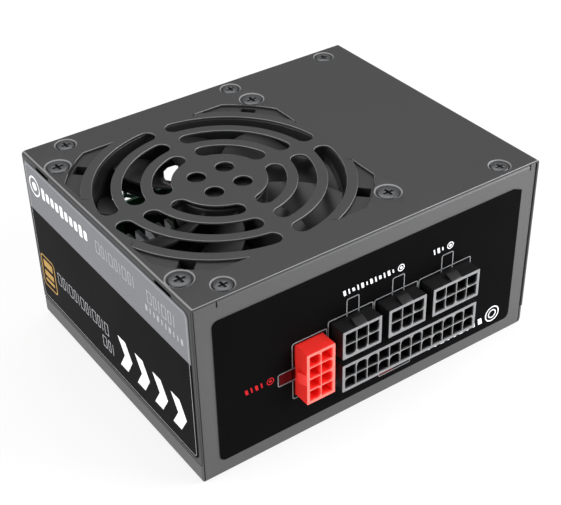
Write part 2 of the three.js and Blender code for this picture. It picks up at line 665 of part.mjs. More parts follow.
function switchOutline(grow) {
  return rectangle(switchX - SWITCH.width / 2 - grow, switchX + SWITCH.width / 2 + grow,
    SWITCH.z - SWITCH.height / 2 - grow, SWITCH.z + SWITCH.height / 2 + grow);
}

const switchMouth = panelY + FACE_GAP + SWITCH_FLANGE.thick;
const ROCKER = { below: 6.25, reach: SWITCH.height / 2 - CLEAR, side: 0.3, pin: 1.2 };
const rockerPivot = switchMouth - ROCKER.below;

function switchHousing() {
  const w = switchReach;
  const h = SWITCH.height / 2 + SWITCH.wall + SWITCH_FLANGE.side;
  const flange = prism(roundedRectangle(switchX - w, switchX + w, SWITCH.z - h, SWITCH.z + h, 1),
    'y', panelY + FACE_GAP, switchMouth);
  const back = switchMouth - SWITCH.depth;
  const body = prism(switchOutline(SWITCH.wall), 'y', back - 4, switchMouth - 1);
  const cavity = prism(switchOutline(0), 'y', back, switchMouth + 1);
  const reach = SWITCH.width / 2 + 0.6;
  const pinHole = prism(disc(rockerPivot, SWITCH.z, ROCKER.pin + CLEAR, 12), 'x', switchX - reach, switchX + reach);
  const terminals = [-1, 1].map((end) =>
    block(switchX - 2.4, switchX + 2.4, back - 9, back - 3, SWITCH.z + end * 4.5 - 0.4, SWITCH.z + end * 4.5 + 0.4));
  return cut(joined([flange, body, ...terminals]), [cavity, pinHole]);
}

// The rocker's two faces lean in to its middle. Its ends clear the bezel at both
// limits, because the corner that is pressed in is the widest part of its swing.
function switchRocker() {
  const pressed = point(ROCKER.below - 0.35, ROCKER.reach);
  const corner = pressed.clone().rotateAround(point(0, 0), -degrees(ROCKER_TILT));
  const middle = corner.x - corner.y * Math.tan(degrees(ROCKER_TILT));
  const shoulder = arc(0, 0, ROCKER.reach - 0.1, 90 - 20, 90 - 20, 1)[0];
  const half = [point(middle, 0), corner, shoulder, point(-1.5, ROCKER.reach * 0.7)];
  const mirrored = half.slice(1).reverse().map((p) => point(p.x, -p.y));
  const width = SWITCH.width / 2 - ROCKER.side;
  const bore = prism(disc(0, 0, ROCKER.pin + CLEAR, 12), 'x', -width - 1, width + 1);
  return prism([...half, ...mirrored], 'x', -width, width).subtract(bore)
    .rotate([-ROCKER_TILT, 0, 0]).translate([switchX, rockerPivot, SWITCH.z]);
}

function rockerPin() {
  const reach = SWITCH.width / 2 + 0.3;
  return prism(disc(rockerPivot, SWITCH.z, ROCKER.pin, 10), 'x', switchX - reach, switchX + reach);
}

// ---- Main board and what it carries -----------------------------------------------

function mainBoard() {
  const x = sideX - BOARD.fromSide;
  const board = block(-x, x, boardFront, faceY - BOARD.fromRear, BOARD.under, boardTop);
  return cut(board, boardScrewPlaces.map((p) => prism(disc(...p, STANDOFF.bore, 8), 'z', 0, boardTop + 1)));
}

// A can with a rolled shoulder round its top.
function can(radius, height, sides) {
  return turned([
    [0, 0], [radius, 0], [radius, height - 0.8], [radius * 0.92, height], [radius * 0.8, height],
    [radius * 0.78, height - 0.5], [0, height - 0.5],
  ], sides);
}

function toroid(inner, outer, height) {
  const r = Math.min(height, outer - inner) * 0.28;
  return turned([
    [inner + r, 0], [outer - r, 0], [outer, r], [outer, height - r], [outer - r, height],
    [inner + r, height], [inner, height - r], [inner, r], [inner + r, 0],
  ], 16);
}

function transformer(width, depth, height) {
  const [x, y] = [width / 2, depth / 2];
  const base = block(-x, x, -y * 0.95, y * 0.95, 0, 2);
  const core = block(-x, x, -y * 0.45, y * 0.45, 2, height);
  const inset = height * 0.16;
  const winding = prism(roundedRectangle(-x * 0.72, x * 0.72, -y, y, 3), 'z', 2, height - inset);
  return joined([base, core, winding]);
}

// A plate with fins down one side, drawn along X with its fins towards +Y.
function finnedHeatsink(length, plate, fins, finLength, height) {
  const pitch = (length - 1.4) / (fins - 1);
  const body = block(-length / 2, length / 2, -plate, 0, 0, height);
  const blades = Array.from({ length: fins }, (_, i) => {
    const x = -length / 2 + 0.7 + i * pitch;
    return block(x - 0.7, x + 0.7, -0.2, finLength, 3, height);
  });
  return joined([body, ...blades]);
}

function bridgeRectifier() {
  const body = block(-11, 11, 0, 4, 5, 20);
  const legs = [-7.5, -2.5, 2.5, 7.5].map((x) => block(x - 0.6, x + 0.6, 1.6, 2.4, 0, 5.5));
  return joined([body, ...legs]);
}

function mainsChoke() {
  const coil = toroid(4.5, 10, 9).rotate([90, 0, 0]).translate([0, 4.5, 11.5]);
  return coil.add(block(-9, 9, -5.5, 5.5, 0, 2.5));
}

// An upright board that stands across the case, with its chips towards the front.
function controlBoard() {
  const board = block(-16, 16, 0, 1.2, 0, 29);
  const chips = [[9, 17], [-2, 19], [-9, 9]].map(([x, z]) => block(x - 3, x + 3, -1.5, 0.3, z - 2.5, z + 2.5));
  return joined([board, ...chips]);
}

// A strap that carries current from the main board up the back of the socket board.
function busBar() {
  const back = socketBoardY + BOARD.thick + FACE_GAP;
  const outline = [
    point(back, boardRest), point(back + 6, boardRest), point(back + 6, boardRest + 1.2),
    point(back + 1.2, boardRest + 1.2), point(back + 1.2, boardRest + 14), point(back, boardRest + 14),
  ];
  return prism(outline, 'x', -4, 4);
}

function addMainBoard() {
  const onBoard = (solid, x, y) => solid.translate([x, y, boardRest]);
  const heatsinkX = fanX + FAN.size / 2 + 3.4;
  const capX = sideX - 20.5;
  add('main_board', mainBoard(), 'board');
  boardScrewPlaces.forEach(([x, y], i) =>
    add(`board_screw_${i + 1}`, onBoard(panScrew(2.6, 1.2, 1.6, 5), x, y), 'steel'));
  add('bulk_capacitor', onBoard(can(15, 44, 22), capX, 5.5), 'sleeve');
  add('correction_choke', onBoard(toroid(6, 13.2, 15), capX - 1.5, -23.5), 'copper');
  const primary = finnedHeatsink(44, 3, 9, 6, underFan).rotate([0, 0, 90]);
  add('primary_heatsink', onBoard(primary, heatsinkX - 2, -6), 'aluminium');
  const bridge = bridgeRectifier().rotate([0, 0, -90]);
  add('bridge_rectifier', onBoard(bridge, heatsinkX + 1 + FACE_GAP, -12), 'blackPlastic');
  add('main_transformer', onBoard(transformer(30, 30, 27), fanX + 20, -7), 'tape');
  add('standby_transformer', onBoard(transformer(17, 17, 15), fanX + 14, 22), 'tape');
  add('mains_choke', onBoard(mainsChoke(), switchX + 3, 25.5), 'copper');
  add('mains_filter_capacitor', onBoard(prism(roundedRectangle(-9, 9, -4.5, 4.5, 1, 2), 'z', 0, 8.5),
    inletX - 4, 35), 'tape');
  const secondary = finnedHeatsink(26, 3, 8, 8, underFan - 4);
  add('secondary_heatsink', onBoard(secondary, fanX - 11, 10), 'aluminium');
  for (let i = 0; i < 4; i++) {
    add(`output_capacitor_${i + 1}`, onBoard(can(5, 21, 12), fanX - 23 + i * 11, -29), 'sleeve');
  }
  add('output_choke', onBoard(toroid(4.5, 10.5, 11), fanX - 18, -11), 'copper');
  add('control_board', onBoard(controlBoard(), fanX - 8, faceY - BOARD.fromRear - 4), 'board');
  add('bus_bar_12v', busBar().translate([-24, 0, 0]), 'copper');
  add('bus_bar_ground', busBar().translate([26, 0, 0]), 'copper');
}

// ---- Leads held inside the case ------------------------------------------------------

function addLeads() {
  const underArm = fanUnder - 2 * CLEAR - 0.9;
  const leadX = fanX + 30;
  add('fan_lead', wire([
    [fanX + 6, fanY + 3, underArm], [fanX + 18, fanY + 8, underArm], [fanX + 26, fanY + 14, underArm],
    [leadX, fanY + 24, underArm - 4], [leadX + 1, fanY + 30, underArm - 16],
    [leadX, fanY + 34, boardTop + 8], [leadX, fanY + 34, boardTop + CLEAR],
  ], 0.9, 18), 'wireBlack');
  const tail = bladeTail - CLEAR - 0.8;
  const [live, neutral] = inletBlades;
  const terminalY = switchMouth - SWITCH.depth - 9 - 2 * CLEAR;
  add('mains_wire_live', wire([
    [live.x, tail, live.z], [live.x - 2, tail - 2, live.z + 1], [live.x - 8, tail - 2, live.z + 4],
    [switchX + 6, terminalY - 4, SWITCH.z + 5.5], [switchX + 1, terminalY - 3, SWITCH.z + 4.5],
    [switchX, terminalY, SWITCH.z + 4.5],
  ], 1, 14), 'wireBrown');
  add('mains_wire_neutral', wire([
    [neutral.x, tail, neutral.z], [neutral.x + 1, tail - 1.5, neutral.z - 2],
    [neutral.x + 1, tail - 1, neutral.z - 10], [neutral.x + 1, tail, boardTop + 4],
    [neutral.x + 1, tail, boardTop + CLEAR],
  ], 1, 12), 'wireBlack');
}

// ---- Assembly ----------------------------------------------------------------------------

add('chassis_tray', chassisTray(), 'caseSteel');
add('top_cover', topCover(), 'caseSteel');
add('insulating_sheet', insulatingSheet(), 'film');
add('front_label', frontLabel(), 'labelBlack');
add('side_label', sideLabel(), 'labelBlack');
coverScrewPlaces.forEach(([x, y], i) => {
  const screw = countersunkScrew(COVER_SCREW).translate([x, y, CASE.height - HEAD_SINK]);
  add(`cover_screw_${i + 1}`, screw, 'blackScrew');
});
fanScrewPlaces.forEach(([x, y], i) => {
  const screw = countersunkScrew(FAN_SCREW).translate([x, y, CASE.height - HEAD_SINK]);
  add(`fan_screw_${i + 1}`, screw, 'blackScrew');
});
addFan();
for (const socket of SOCKETS) {
  add(socket.name, socketHousing(socket), socket.turn === 90 ? 'redPlastic' : 'blackPlastic');
}
add('socket_board', socketBoard(), 'board');
add('inlet_housing', inletHousing(), 'blackPlastic');
for (const blade of inletBlades) add(blade.name, inletBlade(blade), 'brass');
add('switch_housing', switchHousing(), 'blackPlastic');
add('switch_rocker', switchRocker(), 'blackPlastic');
add('rocker_pin', rockerPin(), 'steel');
addMainBoard();
addLeads();

export default powerSupply;
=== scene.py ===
import math

import bmesh
import bpy
from mathutils import Matrix, Vector


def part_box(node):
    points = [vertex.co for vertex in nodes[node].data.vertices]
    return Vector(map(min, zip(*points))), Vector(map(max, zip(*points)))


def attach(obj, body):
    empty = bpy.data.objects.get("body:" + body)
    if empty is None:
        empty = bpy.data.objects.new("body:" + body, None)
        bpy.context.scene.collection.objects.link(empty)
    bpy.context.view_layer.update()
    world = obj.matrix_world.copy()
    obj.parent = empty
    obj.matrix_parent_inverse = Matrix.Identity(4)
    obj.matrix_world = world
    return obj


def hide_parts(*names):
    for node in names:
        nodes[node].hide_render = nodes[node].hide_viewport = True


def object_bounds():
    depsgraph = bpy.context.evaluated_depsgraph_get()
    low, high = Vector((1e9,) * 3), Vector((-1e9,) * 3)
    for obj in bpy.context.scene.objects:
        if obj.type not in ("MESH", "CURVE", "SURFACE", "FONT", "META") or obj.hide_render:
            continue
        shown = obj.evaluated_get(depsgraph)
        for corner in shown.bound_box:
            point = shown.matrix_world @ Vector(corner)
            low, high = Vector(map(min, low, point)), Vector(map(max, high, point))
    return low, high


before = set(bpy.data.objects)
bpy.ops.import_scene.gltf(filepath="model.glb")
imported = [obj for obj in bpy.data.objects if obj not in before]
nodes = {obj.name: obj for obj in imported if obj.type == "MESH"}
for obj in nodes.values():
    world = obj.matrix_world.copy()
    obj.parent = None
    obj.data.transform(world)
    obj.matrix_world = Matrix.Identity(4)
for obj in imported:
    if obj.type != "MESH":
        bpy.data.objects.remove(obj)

cad_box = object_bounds()

# ---- Camera ----
# It looks down on the corner between the side label and the socket panel. back
# points from the middle of the case to the camera, and the roll is the camera's.
MM = 0.001
LENS = 78.1
AZIMUTH, ELEVATION, ROLL = (math.radians(angle) for angle in (-34.4, 35.42, -1.34))
DISTANCE = 393.1 * MM
ASIDE, ABOVE = 0.44 * MM, -4.08 * MM

low, high = cad_box
middle = Vector((0, 0, (low.z + high.z) / 2))


def direction(azimuth, elevation):
    """Away from the case: 0 is to its front, and the azimuth turns towards its right side."""
    level = math.cos(elevation)
    return Vector((math.sin(azimuth) * level, -math.cos(azimuth) * level, math.sin(elevation)))


def added(name, data):
    thing = bpy.data.objects.new(name, data)
    bpy.context.scene.collection.objects.link(thing)
    return thing


back = direction(AZIMUTH, ELEVATION)
level_right = Vector((math.cos(AZIMUTH), math.sin(AZIMUTH), 0))
right = Matrix.Rotation(ROLL, 3, back) @ level_right
up = back.cross(right)

camera = added("camera", bpy.data.cameras.new("camera"))
camera.data.lens = LENS
camera.data.clip_start = 0.01
camera.location = middle + back * DISTANCE + right * ASIDE + up * ABOVE
camera.rotation_mode = "QUATERNION"
camera.rotation_quaternion = Matrix((right, up, back)).transposed().to_quaternion()
bpy.context.scene.camera = camera
bpy.context.scene.view_settings.view_transform = "Standard"


# ---- Floor ----
# Matt white card with the object's soft shadow, which fades out to plain white. It is
# the first thing with a finish, so the way that every finish is mixed stands here.
class Shade:
    """A value or a colour that varies over a surface. Arithmetic on it adds the nodes that work it out."""

    def __init__(self, tree, socket=None):
        self.tree, self.socket = tree, socket

    def node(self, kind, settings, sockets, output=0):
        made = self.tree.nodes.new("ShaderNode" + kind)
        for key, value in settings.items():
            setattr(made, key, value)
        for key, value in sockets.items():
            if isinstance(value, Shade):
                self.tree.links.new(value.socket, made.inputs[key])
            else:
                made.inputs[key].default_value = value
        return Shade(self.tree, made.outputs[output])

    def _sum(self, operation, a, b):
        kinds = [value.socket.type for value in (a, b) if isinstance(value, Shade)]
        if "RGBA" in kinds:
            mixed = {"data_type": "RGBA", "blend_type": operation}
            a, b = (value if isinstance(value, Shade) else (value, value, value, 1) for value in (a, b))
            return self.node("Mix", mixed, {0: 1.0, 6: a, 7: b}, output=2)
        kind = "VectorMath" if "VECTOR" in kinds else "Math"
        return self.node(kind, {"operation": operation}, {0: a, 1: b})

    def __add__(self, other):
        return self._sum("ADD", self, other)

    __radd__ = __add__

    def __sub__(self, other):
        return self._sum("SUBTRACT", self, other)

    def __rsub__(self, other):
        return self._sum("SUBTRACT", other, self)

    def __mul__(self, other):
        return self._sum("MULTIPLY", self, other)

    __rmul__ = __mul__

    def math(self, operation, other=0.0):
        return self.node("Math", {"operation": operation}, {0: self, 1: other})

    def part(self, axis):
        """The x, y or z of a place."""
        return self.node("SeparateXYZ", {}, {"Vector": self}, output="xyz".index(axis))

    def noise(self, per_metre, detail=2.0):
        return self.node("TexNoise", {}, {"Vector": self, "Scale": per_metre, "Detail": detail})

    def stretched(self, x, y, z):
        return self * (x, y, z)

    def rise(self, start, end):
        """0 up to start, 1 from end on, and smooth between them."""
        sockets = {"Value": self, "From Min": start, "From Max": end, "To Min": 0.0, "To Max": 1.0}
        return self.node("MapRange", {"interpolation_type": "SMOOTHSTEP"}, sockets)

    def blend(self, colour, other):
        """colour where this is 0, and other where it is 1."""
        sockets = {0: self}
        for index, value in ((6, colour), (7, other)):
            sockets[index] = value if isinstance(value, Shade) else (*value, 1)
        return self.node("Mix", {"data_type": "RGBA"}, sockets, output=2)

    def mottled(self, colour, least, most):
        """colour times least where this is 0, and times most where it is 1."""
        return self.blend([c * least for c in colour], [c * most for c in colour])

    def relief(self, depth):
        """A bump whose full height is depth metres."""
        return self.node("Bump", {}, {"Height": self, "Distance": depth})


def tone(red, green=None, blue=None):
    """A colour written from 0 to 255, as a screen has it, in the linear numbers that a shader takes."""
    parts = [red, red if green is None else green, red if blue is None else blue]
    return tuple(part / 3294.6 if part < 11 else ((part / 255 + 0.055) / 1.055) ** 2.4 for part in parts)


def surface(name, constants, varied):
    """A finish. constants go on the shader's own sockets, and varied(place) gives what changes over it."""
    material = bpy.data.materials.new(name)
    material.use_nodes = True
    tree = material.node_tree
    shader = tree.nodes["Principled BSDF"]
    for socket, value in constants.items():
        shader.inputs[socket].default_value = value
    coordinates = tree.nodes.new("ShaderNodeTexCoord")
    for socket, shade in varied(Shade(tree, coordinates.outputs["Object"])).items():
        tree.links.new(shade.socket, shader.inputs[socket])
    return material


def shown(name, made, *materials):
    """A mesh object at the origin, from a bmesh that is then used up."""
    mesh = bpy.data.meshes.new(name)
    made.to_mesh(mesh)
    made.free()
    for material in materials:
        mesh.materials.append(material)
    return added(name, mesh)


def rays(tree, first, *others):
    """1 for rays of those kinds, and 0 for all the rest."""
    path = tree.nodes.new("ShaderNodeLightPath")
    found = Shade(tree, path.outputs[f"Is {first} Ray"])
    for kind in others:
        found += Shade(tree, path.outputs[f"Is {kind} Ray"])
    return found.math("MINIMUM", 1.0)


FLOOR_REACH = 3.0
FLOOR_GAP = 0.02 * MM
FADE = (0.15, 0.6)
WHITE_SHARE = 0.76

card = surface("floor card", {"Roughness": 0.9, "Specular IOR Level": 0.1}, lambda place: {
    "Base Color": place.noise(40).blend(tone(243), tone(249)),
})
card_tree = card.node_tree
seen = rays(card_tree, "Camera", "Glossy", "Transmission")
glow = seen.node("Emission", {}, {"Strength": 1.0})
matt = Shade(card_tree, card_tree.nodes["Principled BSDF"].outputs[0])
spot = Shade(card_tree, card_tree.nodes.new("ShaderNodeTexCoord").outputs["Object"])
x, y = spot.part("x"), spot.part("y")
far = (x * x + y * y).math("SQRT").rise(*FADE)
share = seen * (WHITE_SHARE + (1 - WHITE_SHARE) * far)
lit = seen.node("MixShader", {}, {0: share, 1: matt, 2: glow})
card_tree.links.new(lit.socket, card_tree.nodes["Material Output"].inputs["Surface"])

flat = bmesh.new()
bmesh.ops.create_grid(flat, x_segments=1, y_segments=1, size=FLOOR_REACH)
bmesh.ops.translate(flat, vec=(0, 0, low.z - FLOOR_GAP), verts=flat.verts)
floor = shown("floor", flat, card)

# ---- Light ----
# A white room, a broad soft box over the cover, one beyond the socket panel, and a
# weak one beyond the side label, so each face keeps its own even tone.
ROOM_LIGHT = 0.4

world = bpy.data.worlds.new("studio")
bpy.context.scene.world = world
world.use_nodes = True
room = world.node_tree
strength = rays(room, "Camera", "Transmission") * (1 - ROOM_LIGHT) + ROOM_LIGHT
room.links.new(strength.socket, room.nodes["Background"].inputs["Strength"])
room.nodes["Background"].inputs["Color"].default_value = (1, 1, 1, 1)


def soft_box(name, azimuth, elevation, away, width, watts):
    """A square lamp that faces the case from a direction given as the camera's is."""
    lamp = bpy.data.lights.new(name, "AREA")
    lamp.size, lamp.energy = width, watts
    box = added(name, lamp)
    toward = direction(math.radians(azimuth), math.radians(elevation))
    box.location = middle + toward * away
    box.rotation_euler = toward.to_track_quat("Z", "Y").to_euler()


soft_box("top_box", azimuth=160, elevation=68, away=0.9, width=0.8, watts=3.2)
soft_box("panel_box", azimuth=50, elevation=18, away=0.5, width=0.4, watts=4.2)
soft_box("side_box", azimuth=-95, elevation=25, away=0.9, width=0.7, watts=6.8)

# ---- Top cover ----
# Folded from 0.8 mm steel and powder-coated dark grey. The grille's slots are
# punched in it, and the screw seats are dished into it. Its edges are rolled a little.
SHEET = 0.8 * MM
COVER_FOLD = 1.2 * MM
SLOT = 5.7 * MM
SPOKE = 4.4 * MM
RINGS = [radius * MM for radius in (17.4, 26.4, 35.3)]
CORNER = (41.4 * MM, 46.3 * MM)
LEDGE = 1.2 * MM
HUB_HOLE = 2.95 * MM
HUB_HOLE_OUT = 5.04 * MM
SIDE_SLOT = (8.5 * MM, 1.7 * MM)
SIDE_SLOT_OUT = 36 * MM
COVER_SEAT = (2.6 * MM, 3.6 * MM)
FAN_SEAT = (3.0 * MM, 4.3 * MM)
SCORES = [offset * MM for offset in (-35, -12, -5, 5, 12, 35)]
COVER_GREY = tone(54, 54, 55)
# The cover's grey painted paler for the tray: painted light, for the brighter light on its panels.
LIT_TRAY_GREY = tone(80, 80, 81)
# The pale grey of the highlight painted along the cover's upper edges and slot rims.
RIM_HIGHLIGHT_GREY = tone(132, 132, 133)

cover_low, cover_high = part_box("top_cover")
fan_low, fan_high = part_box("fan_frame")
fan_centre = (fan_low + fan_high) / 2
fan_half = (fan_high.x - fan_low.x) / 2
cover_screws = [f"cover_screw_{i}" for i in range(1, 6)]
fan_screws = [f"fan_screw_{i}" for i in range(1, 5)]


def swing(start, centre, degrees, steps=12):
    """The points of an arc that starts at a point and turns about a centre, made by a spin."""
    made = bmesh.new()
    first = made.verts.new((*start, 0))
    bmesh.ops.spin(made, geom=[first], cent=(*centre, 0), axis=(0, 0, 1),
                   angle=math.radians(degrees), steps=steps, use_duplicate=False)
    points = [tuple(vert.co.xy) for vert in made.verts]
    made.free()
    return points


def disc(x, y, radius, steps):
    """A circle's outline."""
    return swing((x + radius, y), (x, y), 360, steps)[:-1]


def slab(outline, bottom, top, stand=None):
    """A solid with that outline from bottom to top, then stood up by a matrix."""
    made = bmesh.new()
    face = made.faces.new([made.verts.new((x, y, bottom)) for x, y in outline])
    grown = bmesh.ops.extrude_face_region(made, geom=[face])["geom"]
    lifted = [part for part in grown if isinstance(part, bmesh.types.BMVert)]
    bmesh.ops.translate(made, vec=(0, 0, top - bottom), verts=lifted)
    if stand is not None:
        made.transform(stand)
    bmesh.ops.recalc_face_normals(made, faces=made.faces[:])
    return made


def joined(parts):
    """One bmesh of several, which are used up."""
    whole = bmesh.new()
    for part in parts:
        mesh = bpy.data.meshes.new("part")
        part.to_mesh(mesh)
        part.free()
        whole.from_mesh(mesh)
        bpy.data.meshes.remove(mesh)
    return whole


def worked_out(thing):
    """A bmesh of an object as its modifiers or its curve settings leave it."""
    evaluated = thing.evaluated_get(bpy.context.evaluated_depsgraph_get())
    made = bmesh.new()
    made.from_mesh(evaluated.to_mesh())
    evaluated.to_mesh_clear()
    return made


def carved(solid, cutters, operation="DIFFERENCE"):
    """What is left of a solid when the cutters are taken from it, or the two grown into one by a union."""
    body = shown("body", solid)
    tool = shown("tool", joined(cutters))
    cut = body.modifiers.new("cut", "BOOLEAN")
    cut.operation, cut.object, cut.solver = operation, tool, "MANIFOLD"
    made = worked_out(body)
    for thing in (body, tool):
        mesh = thing.data
        bpy.data.objects.remove(thing)
        bpy.data.meshes.remove(mesh)
    return made


def softened(thing, radius, angle=35):
    """Smooth shading with a small rounding along every edge sharper than angle, and flat faces kept flat."""
    made = bmesh.new()
    made.from_mesh(thing.data)
    bmesh.ops.triangulate(made, faces=[face for face in made.faces if len(face.verts) > 4])
    made.to_mesh(thing.data)
    made.free()
    thing.data.shade_smooth()
    rounding = thing.modifiers.new("rounded edges", "BEVEL")
    rounding.width, rounding.segments = radius, 2
    rounding.limit_method, rounding.angle_limit = "ANGLE", math.radians(angle)
    rounding.use_clamp_overlap = False
    rounding.miter_outer = "MITER_ARC"
    flatness = thing.modifiers.new("flat faces", "WEIGHTED_NORMAL")
    flatness.mode, flatness.weight = "FACE_AREA", 60
    return thing


def placed(thing, body, slot, *stands_for):
    """The piece rides on a body, in place of the CAD nodes that it stands for, which are hidden. slot is not
    used.
    """
    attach(thing, body)
    if stands_for:
        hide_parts(*stands_for)
    return thing


def built(name, made, material, radius, body, slot, *stands_for, angle=35):
    return placed(softened(shown(name, made, material), radius, angle), body, slot, *stands_for)


# Drawings in (x, z) stand up along y, and drawings in (y, z) along x.
ALONG_Y = Matrix(((1, 0, 0, 0), (0, 0, -1, 0), (0, 1, 0, 0), (0, 0, 0, 1)))
ALONG_X = Matrix(((0, 0, 1, 0), (1, 0, 0, 0), (0, 1, 0, 0), (0, 0, 0, 1)))


def quarters(count):
    """A turn by that many quarters of a circle."""
    return Matrix.Rotation(math.radians(90 * count), 2)


def polar(distance, degrees):
    return Matrix.Rotation(math.radians(degrees), 2) @ Vector((distance, 0))


def ring_slot(radius, quarter):
    """A slot along a ring, with round ends beside the spokes."""
    half = SLOT / 2
    inset = math.degrees((SPOKE / 2 + half) / radius)
    start, sweep = quarter * 90 + inset, 90 - 2 * inset
    along, beyond = polar(1, start), polar(1, start + sweep)
    steps = 10 + int(radius / MM)
    outline = swing(along * (radius + half), (0, 0), sweep, steps)
    outline += swing(beyond * (radius + half), beyond * radius, 180)[1:]
    outline += swing(beyond * (radius - half), (0, 0), -sweep, steps)[1:]
    outline += swing(along * (radius - half), along * radius, 180)[1:-1]
    return outline


def corner_opening(quarter):
    """Between the outer ring and a ledge over the fan's edges, with its far side rounded."""
    inner, outer = CORNER
    start = math.degrees(math.acos((fan_half - LEDGE) / inner))
    turn = math.degrees(math.acos((fan_half - LEDGE) / outer))
    outline = swing(polar(inner, 90 - start), (0, 0), 2 * start - 90, 24)
    outline += swing(polar(outer, turn), (0, 0), 90 - 2 * turn, 8)
    return [tuple(quarters(quarter) @ Vector(point)) for point in outline]


def seat_cone(screw, seat):
    """The dish that a screw head sits in, through the sheet and a little past both its faces."""
    screw_low, screw_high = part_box(screw)
    lower, upper = seat
    over = 0.6 * MM
    widening = (upper - lower) / SHEET * over
    centre = (screw_low + screw_high) / 2
    made = bmesh.new()
    bmesh.ops.create_cone(made, cap_ends=True, segments=40, depth=SHEET + 2 * over,
                          radius1=lower - widening, radius2=upper + widening)
    bmesh.ops.translate(made, vec=(centre.x, centre.y, cover_high.z - SHEET / 2), verts=made.verts)
    return made


def cover_sheet():
    """The folded sheet before anything is punched in it: its section, drawn out from front to rear."""
    reach, top, bottom = cover_high.x, cover_high.z, cover_low.z
    fold, inner = COVER_FOLD, COVER_FOLD - SHEET
    outline = [(-reach + SHEET, bottom)]
    outline += swing((-reach + SHEET, top - fold), (-reach + fold, top - fold), -90, 6)
    outline += swing((reach - fold, top - SHEET), (reach - fold, top - fold), -90, 6)
    outline += [(reach - SHEET, bottom), (reach, bottom)]
    outline += swing((reach, top - fold), (reach - fold, top - fold), 90, 8)
    outline += swing((-reach + fold, top), (-reach + fold, top - fold), 90, 8)
    outline += [(-reach, bottom)]
    return slab(outline, -cover_high.y, -cover_low.y, ALONG_Y)


def scored(sheet):
    """The sheet's faces divided along lines through its holes, so that no face has a hole within it."""
    lines = [(fan_centre, offset) for offset in SCORES]
    lines += [(sum(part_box(name), Vector()) / 2, 0) for name in cover_screws]
    for centre, offset in lines:
        for across in (Vector((1, 0, 0)), Vector((0, 1, 0))):
            everything = sheet.verts[:] + sheet.edges[:] + sheet.faces[:]
            bmesh.ops.bisect_plane(sheet, geom=everything, dist=0.00001 * MM,
                                   plane_co=centre + across * offset, plane_no=across)
    return sheet


def cover_cutters():
    """What is punched out of the cover: grille, hub holes, side slots and screw seats."""
    through = (cover_high.z - 3 * MM, cover_high.z + MM)
    at_fan = Matrix.Translation((fan_centre.x, fan_centre.y, 0))
    cutters = []
    for quarter in range(4):
        cutters += [slab(ring_slot(radius, quarter), *through, at_fan) for radius in RINGS]
        cutters.append(slab(corner_opening(quarter), *through, at_fan))
        out = quarters(quarter) @ Vector((HUB_HOLE_OUT, HUB_HOLE_OUT))
        cutters.append(slab(disc(*out, HUB_HOLE, 32), *through, at_fan))
    length, height = SIDE_SLOT
    slot_top = cover_high.z - SHEET - 0.1 * MM
    for side in (-1, 1):
        y = side * SIDE_SLOT_OUT
        outline = [(y - length / 2, slot_top - height), (y + length / 2, slot_top - height),
                   (y + length / 2, slot_top), (y - length / 2, slot_top)]
        cutters.append(slab(outline, cover_low.x - MM, cover_low.x + SHEET + 0.2 * MM, ALONG_X))
    cutters += [seat_cone(name, COVER_SEAT) for name in cover_screws]
    cutters += [seat_cone(name, FAN_SEAT) for name in fan_screws]
    return cutters


def powder_coat(name, grey):
    """Fine orange peel with a sandy grain in it, an uneven spray, and a highlight painted along the upper
    edges.
    """
    def varied(place):
        peel = place.noise(900, 3)
        sand = place.noise(5200, 2)
        cloud = place.noise(22, 3)
        # Painted highlight: the band just under the top face, over the rounded edges and the tops of the slot
        # walls, is paler.
        height = place.part("z")
        above = height.rise(cover_high.z - 0.34 * MM, cover_high.z - 0.2 * MM)
        below = 1 - height.rise(cover_high.z - 0.06 * MM, cover_high.z - 0.015 * MM)
        plain = (0.55 * cloud + 0.45 * sand).mottled(grey, 0.9, 1.1)
        return {
            "Base Color": (above * below).blend(plain, RIM_HIGHLIGHT_GREY),
            "Roughness": 0.42 + 0.14 * sand,
            "Normal": (0.7 * peel + 0.3 * sand).relief(0.035 * MM),
        }
    return surface(name, {"Metallic": 0.15, "Specular IOR Level": 0.4}, varied)


coat = powder_coat("cover coat", COVER_GREY)
punched = carved(scored(cover_sheet()), cover_cutters())
built("cover_sheet", punched, coat, 0.15 * MM, "case", "case_steel", "top_cover")

# ---- Tray ----
# The lower half of the case: floor, side strips, and the front and rear panels with
# the flanges that the cover is screwed to. One folded sheet, in the cover's coat painted
# paler as painted light, for the brighter light that falls on its panels.
def finished(node, body, slot, material, radius, angle=35):
    """A piece shaped like its CAD node, with whole flat faces and rounded edges."""
    made = bmesh.new()
    made.from_mesh(nodes[node].data)
    bmesh.ops.remove_doubles(made, verts=made.verts, dist=0.001 * MM)
    bmesh.ops.dissolve_limit(made, angle_limit=math.radians(0.4), verts=made.verts, edges=made.edges)
    return built(f"{node}_finished", made, material, radius, body, slot, node, angle=angle)


finished("chassis_tray", "case", "case_steel", powder_coat("tray coat", LIT_TRAY_GREY), 0.12 * MM)

# ---- Insulating sheet ----
# Pale fibre sheet between the main board and the tray's floor, with a grain that runs
# one way. It is flat, so the CAD's own shape is kept.
fibre = surface("fibre sheet", {"Roughness": 0.75}, lambda place: {
    "Base Color": place.stretched(1, 0.15, 1).noise(1500, 4).blend(tone(214, 208, 192), tone(233, 228, 214)),
    "Normal": place.noise(2500, 3).relief(0.03 * MM),
})


def dressed(node, material):
    """A CAD node that keeps its own shape gets a finish."""
    nodes[node].material_slots[0].material = material


dressed("insulating_sheet", fibre)

# ---- Front label ----
# Black satin film on the socket panel, cut out round the sockets. Thin grey lines
# frame the sockets, with white marks by them and red ones by the upright socket.
INK = 0.03 * MM
LINE = 0.32 * MM
FILM_BLACK = tone(10, 10, 11)
PRINT_GREY = tone(132, 133, 135)
PRINT_WHITE = tone(236, 237, 240)
PRINT_RED = tone(186, 36, 40)
DEEP_RED = tone(84, 12, 15)
ROOM_ROUND_SOCKET = 1.25 * MM
LATCH_RISE = 1.1 * MM
PITCH = 4.2 * MM
RIM = 0.8 * MM
TICKS = {"socket_6pin_a": 0, "socket_6pin_b": 12, "socket_8pin_cpu": 3}

